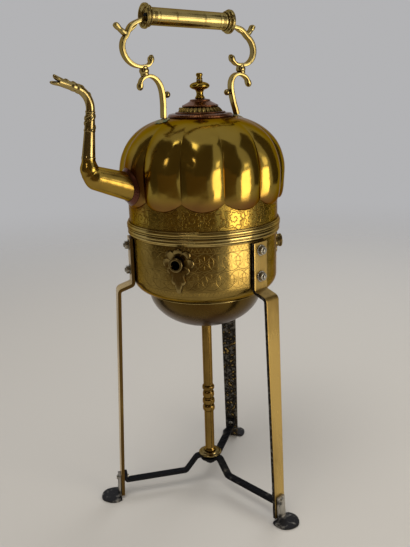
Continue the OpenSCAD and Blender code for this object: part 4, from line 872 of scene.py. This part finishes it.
bowl_r, bowl_depth, bowl_flat_r, stud_hole_r = wall_r - shoulder_r - sheet - fit, 46.0, 9.0, 3.1


def bowl_line(radius, depth):
    """A quarter of an ellipse from the seam to the flat round the stud."""
    a = np.arccos(bowl_flat_r / radius) * np.linspace(0, 1, 40)
    return np.stack([radius * np.cos(a), seam_z - depth * np.sin(a)], 1)


bowl_out, bowl_in = bowl_line(bowl_r, bowl_depth), bowl_line(bowl_r - sheet, bowl_depth - sheet)
bowl_profile = np.concatenate([
    [(bowl_r, seam_z + lap)], bowl_out, [(stud_hole_r, bowl_out[-1, 1]), (stud_hole_r, bowl_in[-1, 1])],
    bowl_in[::-1], [(bowl_r - sheet, seam_z + lap)]])
heat_and_shade_finish = Finish("heat_and_shade_brass", Metallic=1.0)
spot = heat_and_shade_finish.spot()
z = heat_and_shade_finish.axes(spot)[2]
scorch = heat_and_shade_finish.noise(spot, 22, 4.0, (1, 1, 1.6))
freckle = heat_and_shade_finish.noise(spot, 380, 2.0)
# Painted reflection: both bowl colours are kept dark to stand for a dark surface that the bowl mirrors; the
# mask darkens it further towards the bottom and in scorched clouds.
heat = (z.step(0.268, 0.232) * 0.75 + (scorch - 0.4) * 1.6).step(0.0, 1.1)
heat_and_shade_finish.finish(heat_and_shade_finish.blend(heat, (0.115, 0.072, 0.016, 1), (0.075, 0.031, 0.007, 1)),
              heat * 0.12 + freckle * 0.1 + 0.18, scorch + freckle * 0.1, 0.0006)
piece("brazier_bowl", [turned(bowl_profile, 0.3, 200)], "stand", heat_and_shade_finish, ["fire_bowl"])


# The bright bead round the brazier, where the bowl is lapped to the wall: it was run round with
# solder and then rubbed clean.
bead_a = np.radians(np.linspace(0, 360, 12, endpoint=False))
bead_profile = offset(np.stack([0.9 * np.cos(bead_a), 0.8 * np.sin(bead_a)], 1),
                      wall_r - shoulder_r - fit, seam_z - 0.3)
piece("brazier_seam_bead", [turned(bead_profile, 0.0, 200)], "stand", rim_brass)


# Three draught sockets: short brass tubes with a rolled lip, each in a cast lobed plate with a
# pointed tail, over a hole bored in the wall.
legs = {"rear": 43.5, "left": 163.5, "right": 283.5}
sockets = {"rear": 100.5, "front": 220.5, "right": 340.5}
socket_z, socket_r, bore_r, socket_l, lip = 322.0, 7.3, 5.2, 9.4, 0.7
wall_hole_r, drill_l = (bore_r + socket_r) / 2, 20.0
# Each lobe of a plate: how far across and up from the socket, and its radius
plate_lobes = np.array([
    (0, 0, 12.4), (0, 11, 5.6), (9.6, 9, 5), (-9.6, 9, 5), (13, 0, 5.2), (-13, 0, 5.2), (9, -8, 4.4),
    (-9, -8, 4.4), (0, -13, 7.4), (4.6, -21, 3.8), (-4.6, -21, 3.8), (0, -26, 4.4), (0, -31, 3.2)])
socket_profile = [
    (bore_r, 0), (socket_r, 0), (socket_r, socket_l - 3), (socket_r + lip, socket_l - 2.2),
    (socket_r + lip, socket_l - 0.6), (socket_r, socket_l), (bore_r, socket_l)]
socket_brass = brass("socket_brass", (0.36, 0.27, 0.11, 1), (0.06, 0.04, 0.015, 1), 0.4)
plate_brass = brass("plate_brass", (0.34, 0.25, 0.09, 1), (0.07, 0.045, 0.016, 1), 0.25)


def turned_by(grid, degrees):
    """The grid turned round the kettle's axis."""
    a = np.radians(degrees)
    return grid @ np.array([[np.cos(a), np.sin(a), 0], [-np.sin(a), np.cos(a), 0], [0, 0, 1]])


# A plate's outline is where the rays from its socket leave the last of the lobes that they cross
plate_a = np.linspace(0, 2 * np.pi, 180, endpoint=False)
lobe_x, lobe_y, lobe_r = plate_lobes.T[:, :, None]
along_ray = lobe_x * np.cos(plate_a) + lobe_y * np.sin(plate_a)
off_ray = lobe_x * np.sin(plate_a) - lobe_y * np.cos(plate_a)
half_chord = np.sqrt(np.clip(lobe_r ** 2 - off_ray ** 2, 0, None))
outline = np.where(np.abs(off_ray) < lobe_r, along_ray + half_chord, 0).max(0)
hole = socket_r + fit
plate_share = np.array([0, 0, 0.05, 0.8, 0.9, 0.97, 1.0, 1.0])[:, None]
plate_lift = np.array([0, 1.5, 1.8, 1.8, 1.9, 1.5, 0.9, 0])[:, None] + on_wall_r
plate_reach = hole + (outline - hole) * plate_share
plate_y, plate_up = plate_reach * np.cos(plate_a), plate_reach * np.sin(plate_a)
plate_grid = np.stack([np.sqrt(plate_lift ** 2 - plate_y ** 2), plate_y, socket_z + plate_up], -1)
for name, angle in sockets.items():
    a = np.radians(angle)
    outward, middle = np.array([np.cos(a), np.sin(a), 0]), np.array([0, 0, socket_z])
    bpy.ops.mesh.primitive_cylinder_add(
        vertices=48, radius=wall_hole_r / 1000, depth=drill_l / 1000,
        rotation=(0, np.pi / 2, a), location=(middle + wall_r * outward) / 1000)
    drill = bpy.context.object
    cut = brazier_wall.modifiers.new("bored", "BOOLEAN")
    cut.object = drill
    with bpy.context.temp_override(object=brazier_wall, active_object=brazier_wall):
        bpy.ops.object.modifier_apply(modifier=cut.name)
    bpy.data.objects.remove(drill)
    socket_grid = turned(socket_profile, 0.35, 72, stand=(middle + on_wall_r * outward, outward, (0, 0, 1)))
    piece(f"draught_tube_{name}", [socket_grid], "stand", socket_brass, [f"air_socket_{name}"])
    piece(f"draught_plate_{name}", [turned_by(plate_grid, angle)], "stand", plate_brass,
          [f"socket_plate_{name}"])


# The legs: flat brass straps, bolted to the wall, cranked out over the bowl and splayed to the
# table. Their inner faces are black and rough with soot; their side faces are painted darker as
# shade, and the clockwise ones soot-black.
def bar(line, half_thick, heights, half_widths, section, squareness):
    """A flat bar along a line of radius and height, out along +X. Its half widths are given at some
    heights. A point that lies on the one before is left out."""
    line = line[np.concatenate([[True], np.linalg.norm(np.diff(line, axis=0), axis=1) > 1e-6])]
    thick, wide = np.full(len(line), half_thick), np.interp(line[:, 1], heights, half_widths)
    return tube(line, lean_of(line), thick, wide, section, squareness) * (-1, 1, 1)


strap_t, shelf_z, corner_z, corner_r, foot_r = 4.3, 283.5, 277.5, 106.0, 118.0
strap_mid_r, strap_top_z, strap_low_z = on_wall_r + strap_t / 2, 339.5, 3.6
leg_slope = (foot_r - corner_r) / corner_z
leg_line = soften([(strap_mid_r, strap_top_z), (strap_mid_r, shelf_z), (corner_r, corner_z),
                   (foot_r - leg_slope * strap_low_z, strap_low_z)], 3.5, False, 7)
leg_line = np.concatenate([leg_line[:7], np.linspace(leg_line[6], leg_line[7], 4)[1:-1], leg_line[7:-7],
                           np.linspace(leg_line[-8], leg_line[-1], 20)])
leg_grid = bar(leg_line, strap_t / 2, [0, corner_z], [8.5, 10.5], 56, 12.0)

leg_brass = Finish("leg_brass", Metallic=1.0)
spot = leg_brass.spot()
facing = leg_brass.add("ShaderNodeNewGeometry", {}, {}, "Normal")
outwards = leg_brass.vectors("NORMALIZE", leg_brass.vectors("MULTIPLY", spot, (1, 1, 0)))
faced = leg_brass.vectors("DOT_PRODUCT", facing, outwards, output=1)
clockwise = leg_brass.vectors("CROSS_PRODUCT", outwards, (0, 0, 1))
side_shade_facing = leg_brass.vectors("DOT_PRODUCT", facing, clockwise, output=1)
cloud = leg_brass.noise(spot, 34, 4.0, (1, 1, 0.35))
grime = leg_brass.noise(spot, 240, 4.0)
scrape = leg_brass.noise(spot, 700, 2.0, (1, 1, 0.08))
# Painted shade: the clockwise side faces get the same soot-black as the sooty inner faces.
soot_and_side_shade = faced.step(-0.35, -0.8).most(side_shade_facing.step(0.55, 0.85) * 0.97)
soot_and_side_shade_mask = soot_and_side_shade * grime.step(0.30, 0.42)
# Painted shade: both side faces are darkened in the tarnish, whichever way they turn.
tarnish = ((cloud - 0.45) * 2.4 + leg_brass.hollow(0.005) * 1.2 + abs(side_shade_facing) * 1.2 + 0.1).step(0.0, 1.4)
colour = leg_brass.blend(tarnish, (0.66, 0.45, 0.135, 1), (0.13, 0.075, 0.020, 1))
# These soot colours also paint the shade on the clockwise side faces.
soot = leg_brass.blend(grime.step(0.5, 0.64), (0.034, 0.031, 0.028, 1), (0.20, 0.19, 0.17, 1))
rough = (tarnish * 0.18 + scrape * 0.1 + 0.2).most(soot_and_side_shade_mask * 0.8)
leg_brass.finish(leg_brass.blend(soot_and_side_shade_mask, colour, soot), rough, grime * soot_and_side_shade_mask + scrape * 0.12, 0.0012)
for name, angle in legs.items():
    piece(f"strap_leg_{name}", [turned_by(leg_grid, angle)], "stand", leg_brass,
          [f"leg_{name}"], 50)


# What holds the legs: on each two bolts through the wall, with washers and hexagonal nuts outside.
# They are tinned and rubbed, with soft corners.
bolt_z, bolt_r, hole_r, strap_out_r = (330.5, 300.5), 2.5, 2.6, strap_mid_r + strap_t / 2
head_r, nut_r, nut_h, washer_t, washer_r = 4.5, 4.5, 4.0, 1.0, 6.25
tinned = Finish("tinned_steel", Metallic=1.0)
spot = tinned.spot()
wear = tinned.noise(spot, 500, 3.0)
dirt = (tinned.hollow(0.003) * 1.3 + (wear - 0.5) * 1.2).step(0.2, 1.0)
tinned.finish(tinned.blend(dirt, (0.44, 0.42, 0.36, 1), (0.08, 0.065, 0.045, 1)), wear * 0.15 + 0.22,
              wear, 0.0003)


def hexagon(angle, radius):
    """Six flats with rounded corners on the outer rings, and a round hole within."""
    flat = 1 / np.cos(np.mod(angle + np.pi / 6, np.pi / 3) - np.pi / 6)
    return np.where(radius > 3.3, np.minimum(flat, 1.10), 1)


def on_bolts(profile, rounding, segments, ripple=None):
    """The same turned grid on each of the six bolts, its foot at the axis."""
    grids = []
    for angle in legs.values():
        a = np.radians(angle)
        outward = np.array([np.cos(a), np.sin(a), 0])
        grids += [turned(profile, rounding, segments, ripple, ((0, 0, z), outward, (0, 0, 1)))
                  for z in bolt_z]
    return grids


nut_in = strap_out_r + washer_t
nut_profile = offset([(hole_r, 0), (nut_r, 0), (nut_r, nut_h - 0.7), (nut_r - 0.6, nut_h), (hole_r, nut_h)],
                     0, nut_in)
washer_profile = offset([(hole_r, 0), (washer_r, 0), (washer_r, washer_t), (hole_r, washer_t)],
                        0, strap_out_r)
bolt_head = [(0, -2.2), (head_r - 0.9, -2.2), (head_r, -1), (head_r, 0), (bolt_r, 0)]
bolt_profile = [*offset(bolt_head, 0, wall_r - sheet - 0.25),
                *offset([(bolt_r, 1), (1.7, 1.6), (0, 1.6)], 0, nut_in + nut_h)]
piece("leg_hex_nuts", on_bolts(nut_profile, 0.4, 72, hexagon), "stand", tinned,
      ["leg_nuts"], 30)
piece("leg_flat_washers", on_bolts(washer_profile, 0.25, 60), "stand", tinned,
      ["leg_washers"])
piece("leg_round_bolts", on_bolts(bolt_profile, 0.3, 48), "stand", tinned, ["leg_bolts"])


# The feet and the stretcher: blackened wrought iron. Each foot is a spade with a tongue riveted up
# the leg, and each arm is a bar that drops from the hub, runs level and turns up the leg.
tongue_low_r, tongue_t, tongue_h, spade_r = 120.25, 3.2, 31.0, 16.5
hub_arm_z, floor_arm_z, arm_t = 40.0, 21.0, 3.9
iron = Finish("wrought_iron", Metallic=0.85, Specular_Tint=(0.4, 0.4, 0.4, 1))
spot = iron.spot()
scale_marks = iron.noise(spot, 180, 5.0)
bared = iron.noise(spot, 60, 3.0).step(0.55, 0.75) * scale_marks.step(0.45, 0.6) * 0.6
iron.finish(iron.blend(bared, (0.018, 0.018, 0.020, 1), (0.22, 0.20, 0.17, 1)), scale_marks * 0.35 + 0.25,
            scale_marks, 0.0014)
worn_iron = Finish("worn_iron", Metallic=0.8, Specular_Tint=(0.5, 0.5, 0.5, 1))
spot = worn_iron.spot()
z = worn_iron.axes(spot)[2]
rub = worn_iron.noise(spot, 110, 5.0)
bared = (z.step(0.004, 0.012) * 0.5 + (rub - 0.5) * 2.4).step(0.05, 0.6)
worn_iron.finish(worn_iron.blend(bared, (0.035, 0.034, 0.036, 1), (0.42, 0.40, 0.36, 1)), rub * 0.3 + 0.3,
                 rub, 0.0012)

tongue_mid_r, arm_out_r = tongue_low_r + tongue_t / 2, foot_r - 4.3
tongue_line = soften([(tongue_mid_r - leg_slope * tongue_h, tongue_h), (tongue_mid_r, 4),
                      (tongue_low_r + 4, tongue_t / 2), (tongue_low_r + 12, tongue_t / 2)], 4.0, False, 6)
tongue_grid = bar(tongue_line, 1.5, [0, 8], [8.5, 6], 40, 7.0)
arm_line = soften([(2.5, hub_arm_z), (18, hub_arm_z), (33, floor_arm_z),
                   (arm_out_r - leg_slope * (floor_arm_z + 2), floor_arm_z),
                   (arm_out_r - leg_slope * 30, floor_arm_z + 11.5)], 3.0, False, 6)
arm_grid = bar(arm_line, arm_t / 2, [0], [5.0], 40, 7.0)
# A spade is a low disc whose rim waves, cut straight where it meets its tongue
spade_a = np.linspace(0, 2 * np.pi, 90, endpoint=False)
spade_rim = spade_r - 0.4 + 0.25 * np.sin(5 * spade_a)
spade_reach = np.array([0, 0.5, 0.93, 1.0, 1.0, 0.9, 0.5, 0])[:, None] * spade_rim
spade_lift = np.array([0, 0, 0, 0.5, 2.4, 3.1, 3.2, 3.2])[:, None]
spade_x = np.maximum(tongue_low_r + spade_r / 2 + spade_reach * np.cos(spade_a), tongue_low_r)
spade_grid = np.stack(np.broadcast_arrays(spade_x, spade_reach * np.sin(spade_a), spade_lift), -1)
for name, angle in legs.items():
    foot_grids = [turned_by(tongue_grid, angle), turned_by(spade_grid, angle)]
    piece(f"iron_foot_{name}", foot_grids, "stand", worn_iron, [f"foot_{name}"])
    piece(f"iron_arm_{name}", [turned_by(arm_grid, angle)], "stand", iron, [f"arm_{name}"])


# The column: a turned brass rod from the hub to the bowl, with a ball, a barrel, a ball and a ring
# on it below its middle. It stands on a domed brass washer.
column_z, column_top_z, knop_z, rod_r, knop_r = 46.4, 225.3, 122.0, 6.0, 7.8


def turned_ball(low_r, out_r, middle_z, half_h):
    """The outline of a ball on a rod: radius and height along half an ellipse."""
    up = np.linspace(-1, 1, 9)
    return np.stack([low_r + (out_r - low_r) * np.sqrt(1 - up ** 2 * 0.97), middle_z + half_h * up], 1)


column_profile = [
    (0, column_z), (rod_r + 1.5, column_z), (rod_r + 1.5, column_z + 1.5), (rod_r, column_z + 4),
    (rod_r, knop_z - 19.5), *turned_ball(rod_r - 0.2, knop_r, knop_z - 14.3, 4.6),
    *offset([(rod_r - 0.4, -9.4), (rod_r - 0.4, -8.4), (knop_r - 0.3, -8), (knop_r, -6.2),
             (knop_r - 0.2, -2.3), (rod_r, -1.8), (rod_r, -0.6)], 0, knop_z),
    *turned_ball(rod_r, knop_r - 0.5, knop_z + 4.6, 4.6),
    *offset([(rod_r - 0.2, 9.8), (rod_r - 0.2, 11), (knop_r - 0.4, 11.8), (knop_r, 14), (knop_r - 0.4, 16.4),
             (rod_r, 17.4)], 0, knop_z),
    (rod_r, column_top_z), (0, column_top_z)]
column_brass = brass("column_brass", (0.27, 0.165, 0.040, 1), (0.06, 0.033, 0.010, 1), 0.25)
hub_profile = [(3.1, 42.1), (14.5, 42.1), (14.7, 43.4), (13.4, 44.3), (11.4, 44.5), (11, 45.8), (10.2, 46.2),
               (3.1, 46.3)]
piece("turned_column", [turned(column_profile, 0.5, 96)], "stand", column_brass, ["column"])
piece("hub_brass_washer", [turned(hub_profile, 0.5, 96)], "stand", socket_brass, ["hub_washer"])


# What the CAD model already shapes well keeps its solid: rivets, the hub's plate and nuts, the
# hinge, the kettle's pan, the grip's rod, the burner with its wick and the seat it stands in.
cotton = Finish("cotton_wick", Sheen_Weight=0.3)
x, y, z = cotton.axes(cotton.spot())
plait = abs(((x + z * 1.5) / 0.0016).fract() - 0.5) + abs(((y - z * 1.5) / 0.0016).fract() - 0.5)
char = z.step(0.2945, 0.2985)
cotton.finish(cotton.blend(char, (0.80, 0.74, 0.60, 1), (0.03, 0.025, 0.02, 1)), char * 0.05 + 0.9,
              plait, 0.0006)
kept = {
    "foot_rivets": tinned, "hub_plate": iron, "hub_nut": iron, "column_nut": tinned, "grip_rod": iron,
    "hinge_leaf": plain_brass, "hinge_pin": tinned, "lid_tab": plain_brass, "kettle_bottom": heat_and_shade_finish,
    "lamp_seat": aged_brass, "burner_tank": plain_brass, "burner_top": plain_brass, "wick_tube": plain_brass,
    "wick": cotton}
for name, finish in kept.items():
    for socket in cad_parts[name].material_slots:
        socket.material = finish.material
